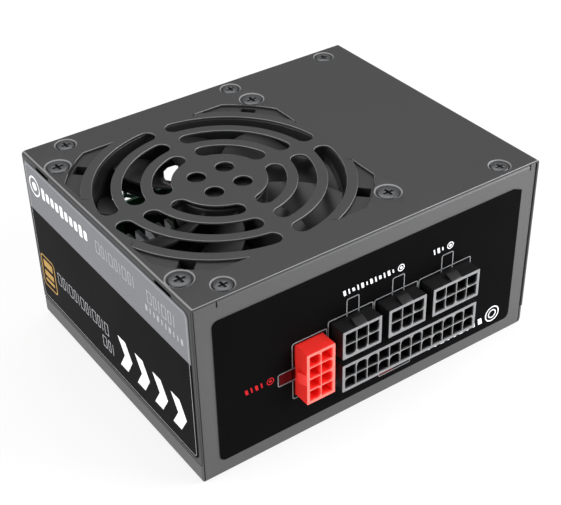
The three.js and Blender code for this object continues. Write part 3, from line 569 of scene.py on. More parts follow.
label_low, label_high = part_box("front_label")
SOCKETS = {
    "socket_24pin": (("DSSDDSSDDSSD", "SDDSSDDSSDDS"), 180),
    "socket_6pin_a": (("SSD", "DDS"), 0),
    "socket_6pin_b": (("SSD", "DDS"), 0),
    "socket_8pin_cpu": (("DSSD", "SDDS"), 0),
    "socket_8pin_graphics": (("DSSD", "SDDS"), 90),
}


def film(name, colour, upper=None, edge=0.0):
    """Printed vinyl: satin, with a very fine tooth and slow waves in its gloss. Above edge it may be another
    colour, a little rougher."""
    def varied(place):
        cloud = place.noise(60)
        ink, roughness = cloud.mottled(colour, 0.85, 1.15), 0.34 + 0.1 * place.noise(35)
        if upper:
            band = place.part("z").rise(edge - 0.06 * MM, edge + 0.06 * MM)
            ink, roughness = band.blend(ink, cloud.mottled(upper, 0.96, 1.04)), roughness + 0.08 * band
        return {
            "Base Color": ink,
            "Roughness": roughness,
            "Normal": place.noise(4200, 2).relief(0.006 * MM),
        }
    return surface(name, {"Specular IOR Level": 0.012}, varied)


def rounded(x0, x1, y0, y1, *radii, steps=4):
    """A rectangle with rounded corners. Its radii go from the lower left one round to the upper left one."""
    a, b, c, d = radii * 4 if len(radii) == 1 else radii
    corners = [((x0, y0 + a), (x0 + a, y0 + a)), ((x1 - b, y0), (x1 - b, y0 + b)),
               ((x1, y1 - c), (x1 - c, y1 - c)), ((x0 + d, y1), (x0 + d, y1 - d))]
    return [point for start, centre in corners for point in swing(start, centre, 90, steps)]


def socket_place(name):
    """The middle of a socket's front rim without its latch, and the matrix that sets a drawn socket there."""
    socket_low, socket_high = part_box(name)
    turned_by = Matrix.Rotation(math.radians(-SOCKETS[name][1]), 4, "Y")
    latch_side = turned_by @ Vector((0, 0, 1))
    centre = (socket_low + socket_high) / 2 - latch_side * LATCH_RISE / 2
    centre.y = socket_low.y
    return centre, Matrix.Translation(centre) @ turned_by


class Print:
    """Flat marks of one ink on a face, drawn in that face's own two directions."""

    def __init__(self, face, stand, outwards=1):
        self.marks, self.stand = [], stand
        self.bottom, self.top = sorted((face, face + outwards * INK))

    def shape(self, outline):
        self.marks.append(slab(outline, self.bottom, self.top, self.stand))

    def bar(self, x, y, width, height, lean=0.0, corner=0.15 * MM):
        outline = rounded(x - width / 2, x + width / 2, y - height / 2, y + height / 2, corner)
        self.shape([(px + lean * (py - y), py) for px, py in outline])

    def bars(self, x, y, pitch, count, widths, heights, **looks):
        """Bars in a row towards smaller x, whose widths and heights in millimetres repeat."""
        for i in range(count):
            width, height = widths[i % len(widths)] * MM, heights[i % len(heights)] * MM
            self.bar(x - i * pitch, y, width, height, **looks)

    def line_between(self, outer, inner):
        hole = slab(inner, self.bottom - MM, self.top + MM)
        mark = carved(slab(outer, self.bottom, self.top), [hole])
        mark.transform(self.stand)
        self.marks.append(mark)

    def frame(self, x0, x1, y0, y1, corner, line=LINE):
        inner = rounded(x0 + line, x1 - line, y0 + line, y1 - line, max(corner - line, 0.1 * MM))
        self.line_between(rounded(x0, x1, y0, y1, corner), inner)

    def ring(self, x, y, radius, line=LINE):
        self.line_between(disc(x, y, radius, 40), disc(x, y, radius - line, 40))

    def dot(self, x, y, radius):
        self.shape(disc(x, y, radius, 20))

    def target(self, x, y):
        self.ring(x, y, 1.25 * MM, 0.3 * MM)
        self.dot(x, y, 0.5 * MM)

    def boxes_and_bars(self, y, z, height, count):
        """A row of outlined boxes of different widths with a thin bar after every second one."""
        for i in range(count):
            width = (2.5, 1.7, 0.9)[i % 3] * MM
            if i % 3 == 2:
                self.bar(y - width / 2, z, LINE, height)
            else:
                self.frame(y - width, y, z - height / 2, z + height / 2, 0.12 * MM)
            y -= width + 0.9 * MM

    def done(self, name, material, slot):
        for mark in self.marks:
            bmesh.ops.recalc_face_normals(mark, faces=mark.faces)
        thing = shown(name, joined(self.marks), material)
        return placed(thing, "case", slot)


finished("front_label", "case", "front_label_film", film("black film", FILM_BLACK), 0.04 * MM)

grey_print, white_print, red_print, deep_print = (Print(-label_low.y, ALONG_Y) for _ in range(4))
WINDOW = 4.7 * MM
WINDOW_REACH = 6.3 * MM
MARK_RISE = 2.5 * MM
LEAN = -0.2
THIN_AND_WIDE = (0.5, 0.9)

for name, (keys, turn) in SOCKETS.items():
    centre, _ = socket_place(name)
    upright = turn == 90
    half_x = PITCH * (len(keys) if upright else len(keys[0])) / 2 + RIM
    half_z = PITCH * (len(keys[0]) if upright else len(keys)) / 2 + RIM
    left, right_end = centre.x - half_x, centre.x + half_x
    foot, head = centre.z - half_z, centre.z + half_z
    room = ROOM_ROUND_SOCKET
    grey_print.frame(left - room, right_end + room, foot - room, head + room, 0.8 * MM)
    if turn == 0:
        window_x, reach = centre.x + 0.7 * MM, head + WINDOW_REACH
        grey_print.frame(window_x - WINDOW / 2, window_x + WINDOW / 2, head - MM, reach, 0.7 * MM)
        mark_x, mark_z = centre.x + 1.5 * MM, reach + MARK_RISE
        if TICKS[name]:
            white_print.target(mark_x, mark_z)
        heights = (1.3, 1.9, 1.9)
        white_print.bars(mark_x - 3 * MM, mark_z, 1.62 * MM, TICKS[name], THIN_AND_WIDE, heights, lean=LEAN)
    elif turn == 180:
        grey_print.frame(centre.x - 7.7 * MM, centre.x + 4.9 * MM, foot - 7.4 * MM, foot + MM, 0.5 * MM)
        deep_print.bar(centre.x - 4.6 * MM, foot - 5.0 * MM, 5.2 * MM, 4.0 * MM)
    else:
        window_end = left - WINDOW_REACH
        grey_print.frame(window_end, left + MM, centre.z - 3.2 * MM, centre.z + 1.5 * MM, 0.7 * MM)
        mark_x, mark_z = window_end - MARK_RISE, centre.z + 0.6 * MM
        red_print.target(mark_x, mark_z)
        red_print.bars(mark_x - 3 * MM, mark_z, 1.7 * MM, 4, THIN_AND_WIDE, (1.9,), lean=LEAN)
        deep_print.bar(window_end + 3.4 * MM, centre.z - 0.85 * MM, 5.6 * MM, 3.8 * MM)
        white_print.bars(centre.x + 1.2 * MM, foot - 3.4 * MM, -1.7 * MM, 5, (0.9,), (1.2,))

# A plain emblem and a row of ticks by the panel's lower corner.
emblem_x, emblem_z = label_high.x - 7.6 * MM, label_low.z + 4.9 * MM
white_print.ring(emblem_x, emblem_z, 3.0 * MM, 0.45 * MM)
white_print.ring(emblem_x, emblem_z, 1.7 * MM, 0.4 * MM)
white_print.bars(emblem_x - 5.2 * MM, emblem_z - 0.8 * MM, 2.7 * MM, 9, (1.6, 0.9, 0.9), (2.4,), lean=LEAN)

for ink, shade, colour in ((grey_print, "grey", PRINT_GREY), (white_print, "white", PRINT_WHITE),
                           (red_print, "red", PRINT_RED), (deep_print, "deep red", DEEP_RED)):
    ink.done(f"front_print_{shade.replace(' ', '_')}", film(f"{shade} print", colour), "front_label_film")

# ---- Side label ----
# One film with a grey band over black, and a fine pale border. Its print is a ring,
# bars, outlined boxes and bold chevrons in white and grey, and a gold badge.
BAND_GREY = tone(120, 121, 124)
SIDE_BLACK = tone(10, 8, 9)
THIN_GREY = tone(165, 166, 169)
GOLD = tone(196, 152, 58)
FILM_THICK = 0.17 * MM

side_low, side_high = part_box("side_label")
band_bottom = side_low.z + 35.4 * MM

side_film = slab(rounded(side_low.y, side_high.y, side_low.z, side_high.z, 2 * MM, steps=10),
                 side_high.x - FILM_THICK, side_high.x, ALONG_X)
two_tone = film("two-tone film", SIDE_BLACK, BAND_GREY, band_bottom)
built("side_label_film", side_film, two_tone, 0.04 * MM, "case", "side_label_film", "side_label")

side_face = side_high.x - FILM_THICK
white_marks, thin_marks, gold_marks = (Print(side_face, ALONG_X, -1) for _ in range(3))

thin_marks.frame(side_low.y + 0.7 * MM, side_high.y - 0.7 * MM, side_low.z + 0.7 * MM, side_high.z - 0.7 * MM,
                 1.5 * MM, 0.2 * MM)

# On the grey band: a ring with a dot, a row of solid bars, then rows of outlined ones.
band_z = band_bottom + 10.2 * MM
white_marks.ring(42.8 * MM, band_z, 3.6 * MM, 0.6 * MM)
white_marks.dot(42.8 * MM, band_z, 1.5 * MM)
white_marks.bars(36.8 * MM, band_z, 3.1 * MM, 10, (2.0,), (4.2, 3.2, 3.2, 3.2), corner=0.5 * MM)
thin_marks.boxes_and_bars(2.6 * MM, band_z, 4.3 * MM, 9)
thin_marks.boxes_and_bars(-27 * MM, band_z, 4.3 * MM, 6)
thin_marks.bars(-26 * MM, band_z - 4.7 * MM, 2.1 * MM, 10, (1.2, 0.6, 0.6), (2.0,))

# On the black: outlined boxes in two rows, and four bold chevrons.
text_z = side_low.z + 14.6 * MM
thin_marks.boxes_and_bars(35.0 * MM, text_z, 4.6 * MM, 13)
thin_marks.boxes_and_bars(6.0 * MM, text_z - 6.4 * MM, 4.4 * MM, 3)
block_z = side_low.z + 11.5 * MM
for i in range(4):
    left, tall, point, bold = (-4.9 - 10.3 * i) * MM, 11.4 * MM, 3.4 * MM, 4.6 * MM
    chevron = [(0, 0), (-point, tall / 2), (0, tall), (-bold, tall), (-bold - point, tall / 2), (-bold, 0)]
    white_marks.shape([(left + y, block_z - tall / 2 + z) for y, z in chevron])

# The badge: a gold frame round a plate with three bars.
badge = (37.2 * MM, 47.0 * MM, side_low.z + 5.6 * MM, side_low.z + 18.4 * MM)
gold_marks.frame(*badge, 1.6 * MM, 0.55 * MM)
badge_y = (badge[0] + badge[1]) / 2
for rise, width, height in ((9.6, 6.2, 2.9), (5.7, 6.2, 2.3), (2.9, 6.2, 1.3)):
    gold_marks.bar(badge_y, badge[2] + rise * MM, width * MM, height * MM, corner=0.4 * MM)

white_marks.done("side_print_white", film("bright print", tone(240, 240, 242)), "side_label_film")
thin_marks.done("side_print_thin", film("thin print", THIN_GREY), "side_label_film")
gold_foil = surface("gold foil", {"Metallic": 0.85}, lambda place: {
    "Base Color": place.noise(500, 3).mottled(GOLD, 0.9, 1.15),
    "Roughness": 0.34 + 0.12 * place.noise(900),
    "Normal": place.noise(2600, 2).relief(0.01 * MM),
})
gold_marks.done("side_print_gold", gold_foil, "side_label_film")

# ---- Screws ----
# Blackened steel, countersunk under a low dome, with a cross recess. The five round
# the edge hold the cover to the tray, and the four larger ones hold the fan.
HEAD_DOME = 0.25 * MM


def turned(profile, centre=(0, 0, 0), steps=48, closed=False):
    """A turned solid. Its profile of (radius, height) runs from axis to axis, or closes on itself."""
    made = bmesh.new()
    corners = [made.verts.new((radius, 0, height)) for radius, height in profile]
    ends = corners + corners[:1] if closed else corners
    sides = [made.edges.new(pair) for pair in zip(ends, ends[1:])]
    bmesh.ops.spin(made, geom=corners + sides, cent=(0, 0, 0), axis=(0, 0, 1), angle=math.tau, steps=steps,
                   use_merge=True, use_duplicate=False)
    bmesh.ops.remove_doubles(made, verts=made.verts, dist=0.0001 * MM)
    bmesh.ops.recalc_face_normals(made, faces=made.faces[:])
    bmesh.ops.translate(made, vec=centre, verts=made.verts)
    return made


def metal(name, colour, roughness, scratch=0.1, metallic=1.0):
    """Bare or plated metal with fine drawn lines and a little tarnish."""
    def varied(place):
        lines = place.stretched(1, 1, 14).noise(1400, 4)
        patch = place.noise(260, 3)
        return {
            "Base Color": patch.mottled(colour, 0.82, 1.12),
            "Roughness": roughness - scratch / 2 + scratch * lines + 0.08 * patch,
            "Normal": lines.relief(0.008 * MM),
        }
    return surface(name, {"Metallic": metallic}, varied)


black_steel = metal("blackened steel", tone(98, 99, 101), 0.3, metallic=0.9)


def cross(centre, reach, half, bottom, top):
    """A cross-shaped cutter."""
    x, y = centre
    corners = [(half, half), (reach, half), (reach, -half)]
    outline = []
    for quarter in range(4):
        outline += [quarters(-quarter) @ Vector(corner) for corner in corners]
    return slab([(x + point.x, y + point.y) for point in outline], bottom, top)


def screw(node):
    """A short screw with its head in the sheet's dish."""
    screw_low, screw_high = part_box(node)
    centre = (screw_low + screw_high) / 2
    head = (screw_high.x - screw_low.x) / 2
    shank = head * 0.55
    face = screw_high.z - HEAD_DOME
    profile = [
        (0, screw_low.z), (shank, screw_low.z), (shank, face - 1.3 * MM), (head, face - 0.25 * MM),
        (head * 0.985, face - 0.1 * MM), (head * 0.86, face + HEAD_DOME * 0.5),
        (head * 0.6, face + HEAD_DOME * 0.85), (0, screw_high.z),
    ]
    solid = turned(profile, (centre.x, centre.y, 0), 40)
    recess = cross(centre.xy, head * 0.55, head * 0.13, face - 0.9 * MM, screw_high.z + MM)
    made = carved(solid, [recess])
    built(f"{node}_turned", made, black_steel, 0.05 * MM, "case", "screw_steel", node, angle=30)


for node in cover_screws + fan_screws:
    screw(node)

# ---- Fan ----
# Black glass-filled nylon. The frame is moulded with four pockets at its corners, and
# the rotor has nine swept blades round a cup that holds the magnet ring.
BLADES = 9
BLADE_TIP = 37.2 * MM
BLADE_THICK = 0.9 * MM
BLADE_ARCH = 1.4 * MM
CHORD, CHORD_LOSS, SWEEP = 37, 5, 14
HUB = 14 * MM

rotor_low, rotor_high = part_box("fan_rotor")


def nylon(name, colour, roughness):
    """Moulded plastic with a fine spark-eroded skin and faint flow marks."""
    def varied(place):
        skin = place.noise(3800, 3)
        flow = place.noise(90, 3)
        return {
            "Base Color": flow.mottled(colour, 0.86, 1.14),
            "Roughness": roughness - 0.06 + 0.12 * skin,
            "Normal": skin.relief(0.012 * MM),
        }
    return surface(name, {"Specular IOR Level": 0.5}, varied)


fan_black = nylon("fan frame nylon", tone(34, 34, 35), 0.42)
rotor_grey = nylon("fan blade nylon", tone(24, 24, 24), 0.42)
finished("fan_frame", "case", "fan_plastic", fan_black, 0.25 * MM)


def fan_blade():
    """A grid wrapped round the hub: swept back, arched along the air's way, and narrower at the tip."""
    made = bmesh.new()
    bmesh.ops.create_grid(made, x_segments=14, y_segments=16, size=0.5)
    root = HUB - 0.6 * MM
    centre_z = (rotor_low.z + rotor_high.z) / 2 - 0.7 * MM
    height = rotor_high.z - rotor_low.z - 1.8 * MM
    for vert in made.verts:
        out, along = vert.co.x + 0.5, vert.co.y
        distance = root + out * (BLADE_TIP - 0.3 * MM - root)
        angle = math.radians(along * (CHORD - CHORD_LOSS * out) - SWEEP * out * out)
        rise = along * height * (1 - 0.2 * out) + BLADE_ARCH * (1 - 4 * along * along)
        vert.co = (distance * math.cos(angle), distance * math.sin(angle), centre_z + rise)
    bmesh.ops.recalc_face_normals(made, faces=made.faces)
    bmesh.ops.solidify(made, geom=made.faces[:], thickness=BLADE_THICK)
    bmesh.ops.recalc_face_normals(made, faces=made.faces[:])
    return made


def rotor():
    """The hub's cup, open below for the magnet ring, with its blades grown into one."""
    top, bottom = rotor_high.z, rotor_low.z
    wall = 1.3 * MM
    cup = turned([
        (HUB - wall, bottom), (HUB, bottom), (HUB, top - 0.9 * MM), (HUB - 0.25 * MM, top - 0.3 * MM),
        (HUB - 0.9 * MM, top), (HUB - 3.2 * MM, top), (HUB - 3.4 * MM, top - 0.25 * MM), (0, top - 0.25 * MM),
        (0, top - 1.2 * MM), (HUB - wall, top - 1.2 * MM),
    ], steps=72, closed=True)
    blades = []
    for i in range(BLADES):
        blade = fan_blade()
        blade.transform(Matrix.Rotation(math.tau * i / BLADES, 4, "Z"))
        blades.append(blade)
    whole = carved(cup, blades, "UNION")
    bmesh.ops.translate(whole, vec=(fan_centre.x, fan_centre.y, 0), verts=whole.verts)
    return whole


built("fan_rotor_moulded", rotor(), rotor_grey, 0.12 * MM, "fan", "fan_plastic", "fan_rotor", angle=40)

bright_steel = metal("bright steel", tone(186, 187, 190), 0.28)
brass = metal("brass", tone(196, 160, 92), 0.3)
ferrite = nylon("ferrite", tone(62, 62, 66), 0.6)
copper = metal("enamelled copper", tone(176, 92, 52), 0.32, metallic=0.75)
dressed("fan_shaft", bright_steel)
dressed("fan_magnet_ring", ferrite)
dressed("fan_bearing", brass)
dressed("fan_stator", copper)

# ---- Sockets ----
# Black nylon housings, and a red one for the graphics lead. Each cell's key is square
# or round-footed, the latch ramp is on the side where the plug clips, and the front
# faces round the cells carry a paler painted highlight.
CELL = 3.5 * MM
CELL_DEEP = 9.2 * MM
PIN_HOLE = 1.7 * MM
LATCH_WIDE = 4 * MM
LATCH_LONG = 3.6 * MM
KEY_ROUND, KEY_SQUARE = 1.35 * MM, 0.25 * MM
MOUTH = 0.2 * MM
MOUTH_DEEP = 0.3 * MM


def socket_nylon(name, colour, highlight_colour, front):
    """Nylon with a paler highlight painted on its front faces."""
    def varied(place):
        skin = place.noise(3800, 3)
        # Painted highlight: the front 0.2 mm of the housing, the rims round its cells, is paler.
        highlight_mask = place.part("y").rise(front + 0.05 * MM, front + 0.2 * MM)
        flow = place.noise(90, 3)
        plain = flow.mottled(colour, 0.9, 1.1)
        edge = flow.mottled(highlight_colour, 0.92, 1.08)
        return {
            "Base Color": highlight_mask.blend(edge, plain),
            "Roughness": 0.38 + 0.12 * skin,
            "Normal": skin.relief(0.01 * MM),
        }
    return surface(name, {"Specular IOR Level": 0.5}, varied)


socket_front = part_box("socket_24pin")[0].y
black_nylon = socket_nylon("black nylon", tone(17, 17, 18), tone(128, 129, 131), socket_front)
red_nylon = socket_nylon("red nylon", tone(250, 46, 38), tone(255, 112, 100), socket_front)


def socket(name, keys, material, slot):
    """A housing with its latch ramp, then its cells, their flared mouths and the holes for the pins."""
    _, place = socket_place(name)
    socket_low, socket_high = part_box(name)
    depth = socket_high.y - socket_low.y
    half_x, half_z = len(keys[0]) * PITCH / 2 + RIM, len(keys) * PITCH / 2 + RIM
    body = slab(rounded(-half_x, half_x, -half_z, half_z, KEY_SQUARE), -depth, 0, ALONG_Y)
    bite = 0.3 * MM
    ramp = [
        (bite, half_z - bite), (LATCH_LONG, half_z - bite), (LATCH_LONG, half_z + LATCH_RISE),
        (LATCH_LONG - MM, half_z + LATCH_RISE), (bite, half_z + bite / 2),
    ]
    body = carved(body, [slab(ramp, -LATCH_WIDE / 2, LATCH_WIDE / 2, ALONG_X)], "UNION")
    cells, mouths, holes = [], [], []
    for down, row in enumerate(keys):
        for across, key in enumerate(row):
            x = (across - (len(row) - 1) / 2) * PITCH
            z = ((len(keys) - 1) / 2 - down) * PITCH
            foot = KEY_ROUND if key == "D" else KEY_SQUARE
            for cutters, half, deep in ((cells, CELL / 2, CELL_DEEP), (mouths, CELL / 2 + MOUTH, MOUTH_DEEP)):
                sides = (x - half, x + half, z - half, z + half)
                outline = rounded(*sides, foot, foot, KEY_SQUARE, KEY_SQUARE, steps=5)
                cutters.append(slab(outline, -deep, MM, ALONG_Y))
            half = PIN_HOLE / 2
            outline = rounded(x - half, x + half, z - half, z + half, 0.1 * MM)
            holes.append(slab(outline, -depth - MM, -CELL_DEEP + MM, ALONG_Y))
    for cutters in (cells, mouths, holes):
        body = carved(body, cutters)
    body.transform(place)
    built(f"{name}_housing", body, material, 0.07 * MM, "case", slot, name)


for name, (keys, turn) in SOCKETS.items():
    look = (red_nylon, "socket_red") if turn == 90 else (black_nylon, "socket_black")
    socket(name, keys, *look)

# ---- Circuit boards ----
# Green lacquered glass-fibre boards with copper tracks under the lacquer. The socket
# board also carries the sockets' gold-plated pins.
BOARD_GREEN = tone(18, 84, 58)
TRACK_GREEN = tone(38, 122, 84)
GOLD_PLATE = tone(214, 172, 84)
CHIP_BLACK = tone(22, 22, 24)


def lacquer(name, flat_axes, front=None, standing=GOLD_PLATE, metallic=1.0):
    """Green lacquer with square tracks. What stands out before the board's front has a colour of its own."""
    def varied(place):
        cells = place.node("TexVoronoi", {"distance": "CHEBYCHEV", "feature": "F1"},
                           {"Vector": place.stretched(*flat_axes), "Scale": 240.0, "Randomness": 0.75})
        track = cells.rise(0.34, 0.4)
        weave = place.noise(2400, 2)
        green = track.blend([c * 0.8 for c in BOARD_GREEN], TRACK_GREEN)
        shades = {
            "Base Color": green,
            "Roughness": 0.3 + 0.12 * weave,
            "Normal": (track * 0.6 + weave * 0.2).relief(0.03 * MM),
        }
        if front is not None:
            board = place.part("y").rise(front - 0.06 * MM, front - 0.01 * MM)
            shades["Base Color"] = board.blend(standing, green)
            shades["Metallic"] = (1 - board) * metallic
        return shades
    return surface(name, {"Specular IOR Level": 0.5}, varied)


SOCKET_BOARD_THICK, CONTROL_BOARD_THICK = 1.6 * MM, 1.2 * MM
socket_board_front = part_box("socket_board")[1].y - SOCKET_BOARD_THICK
control_board_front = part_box("control_board")[1].y - CONTROL_BOARD_THICK
finished("main_board", "case", "board_green", lacquer("main board lacquer", (1, 1, 0)), 0.08 * MM)
finished("socket_board", "case", "board_green",
         lacquer("socket board lacquer", (1, 0, 1), socket_board_front), 0.08 * MM)
finished("control_board", "case", "board_green",
         lacquer("control board lacquer", (1, 0, 1), control_board_front, CHIP_BLACK, 0.0), 0.08 * MM)
dressed("fan_circuit_board", lacquer("fan board lacquer", (1, 1, 0)))

# ---- Heatsinks ----
# Extruded aluminium with saw marks along the fins, standing on the main board: one
# for the mains side, with the bridge rectifier on it, and one for the output side.
aluminium = metal("sawn aluminium", tone(214, 216, 219), 0.32, 0.2)
for node in ("primary_heatsink", "secondary_heatsink"):
    finished(node, "case", "aluminium", aluminium, 0.15 * MM)

# ---- Capacitors ----
# One bulk capacitor and four output ones: aluminium cans in shrunk sleeves with a
# paler stripe, each with a rolled neck and a scored vent on the top.
SLEEVE = tone(30, 32, 38)
STRIPE = tone(120, 124, 132)


def sleeve(name, centre, radius, top):
    """A shiny sleeve with a paler stripe down one side, and bare metal inside its rolled-over edge."""
    def varied(place):
        x, y = place.part("x") - centre.x, place.part("y") - centre.y
        stripe = (x * -0.5 + y * -0.86).rise(radius * 0.9, radius * 0.93)
        away = (x * x + y * y).math("SQRT")
        within = 1 - away.rise(radius * 0.8, radius * 0.82)
        bare = within * place.part("z").rise(top - 1.2 * MM, top - 1.1 * MM)
        coloured = stripe.blend(SLEEVE, STRIPE)
        return {
            "Base Color": bare.blend(coloured, tone(205, 206, 208)),
            "Metallic": bare,
            "Roughness": 0.3 + 0.1 * place.noise(700),
            "Normal": place.stretched(1, 1, 0.1).noise(1500).relief(0.02 * MM),
        }
    return surface(name, {"Specular IOR Level": 0.5}, varied)


def capacitor(node):
    can_low, can_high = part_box(node)
    centre = (can_low + can_high) / 2
    radius, top, bottom = (can_high.x - can_low.x) / 2, can_high.z, can_low.z
    neck = 0.06 * radius
    profile = [
        (0, bottom), (radius * 0.94, bottom), (radius, bottom + 0.5 * MM), (radius, bottom + 2.2 * MM),
        (radius - neck, bottom + 2.9 * MM), (radius, bottom + 3.6 * MM), (radius, top - 0.9 * MM),
        (radius * 0.965, top - 0.25 * MM), (radius * 0.92, top), (radius * 0.84, top - 0.05 * MM),
        (radius * 0.8, top - 0.5 * MM), (0, top - 0.5 * MM),
    ]
    solid = turned(profile, (centre.x, centre.y, 0), 56)
    score = cross(centre.xy, radius * 0.55, 0.02 * radius + 0.08 * MM, top - 0.75 * MM, top + MM)
    material = sleeve(f"{node} sleeve", centre, radius, top)
    built(f"{node}_can", carved(solid, [score]), material, 0.08 * MM, "case", "capacitor_sleeve", node)


for node in ["bulk_capacitor"] + [f"output_capacitor_{i}" for i in range(1, 5)]:
    capacitor(node)

# ---- Chokes ----
# Ring cores wound with enamelled copper wire. The mains choke stands on edge on a
# plastic foot, and the other two lie flat on the board.
core_paint = nylon("painted ring core", tone(150, 142, 60), 0.5)


def laid(centre, axis):
    """Puts a ring drawn flat at the origin in its place, with its own axis along Z or Y."""
    upright = Matrix.Rotation(math.radians(90), 4, "X") if axis == "Y" else Matrix()
    return Matrix.Translation(centre) @ upright


def winding(name, centre, inner, outer, half_height, wire, turns, axis="Z"):
    """Round wire laid side by side through a ring and over it."""
    curve = bpy.data.curves.new(name, "CURVE")
    curve.dimensions, curve.bevel_depth, curve.bevel_resolution = "3D", wire, 2
    corner = 1.4 * MM
    loop = rounded(inner + wire, outer - wire, -half_height + wire, half_height - wire, corner, steps=3)
    for i in range(turns):
        spline = curve.splines.new("POLY")
        spline.points.add(len(loop) - 1)
        spline.use_cyclic_u = True
        spun = laid(centre, axis) @ Matrix.Rotation(math.tau * (i + 0.5) / turns, 4, "Z")
        for point, (distance, height) in zip(spline.points, loop):
            point.co = (*(spun @ Vector((distance, 0, height))), 1)
    holder = added(name, curve)
    made = worked_out(holder)
    bpy.data.objects.remove(holder)
    bpy.data.curves.remove(curve)
    thing = shown(name, made, copper)
    thing.data.shade_smooth()
    placed(thing, "case", "copper")


def ring_core(node, centre, inner, outer, half_height, axis="Z"):
    made = turned([(inner, -half_height), (outer, -half_height), (outer, half_height), (inner, half_height)],
                  steps=48, closed=True)
    made.transform(laid(centre, axis))
    built(f"{node}_core", made, core_paint, 0.4 * MM, "case", "ferrite", node)


def flat_choke(node, inner, wire, turns):
    choke_low, choke_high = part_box(node)
    centre = (choke_low + choke_high) / 2
    outer, half = (choke_high.x - choke_low.x) / 2, (choke_high.z - choke_low.z) / 2
    gap = 2 * wire + 0.1 * MM
    ring_core(node, centre, inner + gap, outer - gap, half - gap)
    winding(f"{node}_winding", centre, inner, outer, half, wire, turns)


flat_choke("correction_choke", inner=6 * MM, wire=0.6 * MM, turns=30)
flat_choke("output_choke", inner=4.5 * MM, wire=0.55 * MM, turns=24)

choke_low, choke_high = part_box("mains_choke")
foot_top = choke_low.z + 2.5 * MM
foot = rounded(choke_low.x + MM, choke_high.x - MM, choke_low.y, choke_high.y, MM)
foot = slab(foot, choke_low.z, foot_top)
built("mains_choke_foot", foot, fan_black, 0.3 * MM, "case", "fan_plastic")
choke_outer = (choke_high.z - foot_top) / 2
choke_centre = (choke_low + choke_high) / 2
choke_centre.z = choke_high.z - choke_outer
choke_inner, choke_half, choke_wire = 4.5 * MM, 4.5 * MM, 0.5 * MM
wound = 2 * choke_wire + 0.1 * MM
ring_core("mains_choke", choke_centre, choke_inner + wound, choke_outer - wound, choke_half - wound, "Y")
winding("mains_choke_winding", choke_centre, choke_inner, choke_outer, choke_half, choke_wire, 28, "Y")

# ---- Transformers ----
# Ferrite cores on black bobbins, with yellow tape lapped over the copper. The main one
# and the small standby one share a finish, which is divided by place.
TAPE = tone(168, 132, 40)


def core_and_tape(name, centre, half_core, foot_z):
    def varied(place):
        away = (place.part("y") - centre.y).math("ABSOLUTE")
        tape = away.rise(half_core, half_core + 0.1 * MM)
        wave = {"Vector": place, "Scale": 90.0, "Distortion": 0.4}
        lap = place.node("TexWave", {"bands_direction": "Z"}, wave, output=1)
        winding_colour = lap.mottled(TAPE, 0.85, 1)
        above = place.part("z").rise(foot_z, foot_z + 0.1 * MM)
        core = place.noise(600, 3).blend(tone(52, 52, 56), tone(70, 70, 74))
        body = tape.blend(core, winding_colour)
        return {
            "Base Color": above.blend(tone(22, 22, 24), body),
            "Roughness": 0.62 - 0.2 * tape,
            "Normal": (0.5 * place.noise(1600, 3) + 0.5 * (lap * tape)).relief(0.04 * MM),
        }
    return surface(name, {}, varied)


for node in ("main_transformer", "standby_transformer"):
    core_low, core_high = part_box(node)
    core_half = (core_high.y - core_low.y) / 2 * 0.45
    material = core_and_tape(f"{node} finish", (core_low + core_high) / 2, core_half, core_low.z + 2 * MM)
    finished(node, "case", "winding_tape", material, 0.3 * MM)

# ---- Small parts on the board ----
# The bridge rectifier is clipped to the heatsink, the filter capacitor is a yellow box,
# the bus bars are tinned copper, and four steel screws hold the board down.
resin = nylon("rectifier resin", tone(26, 26, 28), 0.5)
finished("bridge_rectifier", "case", "socket_black", resin, 0.2 * MM)
box_yellow = nylon("film capacitor box", tone(190, 150, 52), 0.4)
finished("mains_filter_capacitor", "case", "winding_tape", box_yellow, 0.3 * MM)
for node in ("bus_bar_12v", "bus_bar_ground"):
    finished(node, "case", "copper", metal(f"{node} plating", tone(206, 140, 96), 0.3), 0.1 * MM)
for i in range(1, 5):
    finished(f"board_screw_{i}", "case", "plain_steel", bright_steel, 0.06 * MM, 40)

# ---- Leads ----
# Stranded wire in smooth sleeves, held at both ends inside the case: the fan's lead,
# and the live and neutral wires from the inlet and the switch.
def wire_sleeve(name, colour):
    return surface(name, {"Specular IOR Level": 0.5}, lambda place: {
        "Base Color": place.noise(200).mottled(colour, 0.9, 1.1),
        "Roughness": 0.42 + 0.1 * place.noise(900),
        "Normal": place.noise(1800).relief(0.01 * MM),
    })


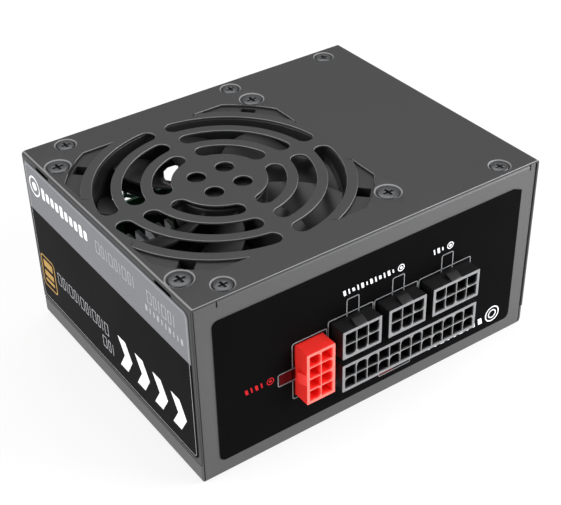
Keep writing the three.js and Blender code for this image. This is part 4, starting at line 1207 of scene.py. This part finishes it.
black_sleeve = wire_sleeve("black wire", tone(24, 24, 25))
brown_sleeve = wire_sleeve("brown wire", tone(96, 54, 32))
finished("fan_lead", "case", "wire_black", black_sleeve, 0.05 * MM, 70)
finished("mains_wire_neutral", "case", "wire_black", black_sleeve, 0.05 * MM, 70)
finished("mains_wire_live", "case", "wire_brown", brown_sleeve, 0.05 * MM, 70)

# ---- Mains inlet and switch ----
# Black glass-filled shells that snap into the rear panel, with three brass blades, and
# a rocker with a moulded bar and ring on its two faces.
shell_black = nylon("inlet and switch nylon", tone(24, 24, 26), 0.4)
rocker_black = nylon("rocker nylon", tone(16, 16, 18), 0.3)
finished("inlet_housing", "case", "socket_black", shell_black, 0.25 * MM)
finished("switch_housing", "case", "socket_black", shell_black, 0.2 * MM)
for name in ("live", "neutral", "earth"):
    finished(f"inlet_blade_{name}", "case", "brass", brass, 0.15 * MM)
finished("rocker_pin", "case", "plain_steel", bright_steel, 0.05 * MM)
rocker = finished("switch_rocker", "rocker", "socket_black", rocker_black, 0.25 * MM)

rocker_low, rocker_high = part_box("switch_rocker")
rocker_middle = (rocker_low + rocker_high) / 2
MARK_OUT = 4.2 * MM
mark_ink = nylon("rocker mark", tone(225, 226, 228), 0.4)


def rocker_mark(name, height, outline, hole=None):
    """A thin mark that lies on the rocker's face at a height from its middle."""
    start = Vector((rocker_middle.x, rocker_high.y + 5 * MM, rocker_middle.z + height))
    _, spot, normal, _ = rocker.ray_cast(start, Vector((0, -1, 0)))
    up_face = normal.cross(Vector((1, 0, 0)))
    stand = Matrix.Translation(spot) @ Matrix((Vector((1, 0, 0)), -up_face, normal)).transposed().to_4x4()
    mark = slab(outline, -0.05 * MM, 0.03 * MM)
    if hole:
        mark = carved(mark, [slab(hole, -MM, MM)])
    mark.transform(stand)
    bmesh.ops.recalc_face_normals(mark, faces=mark.faces[:])
    placed(shown(name, mark, mark_ink), "rocker", "socket_black")


rocker_mark("rocker_mark_on", MARK_OUT, rounded(-0.3 * MM, 0.3 * MM, -1.6 * MM, 1.6 * MM, 0.1 * MM))
rocker_mark("rocker_mark_off", -MARK_OUT, disc(0, 0, 1.5 * MM, 32), disc(0, 0, 0.95 * MM, 32))
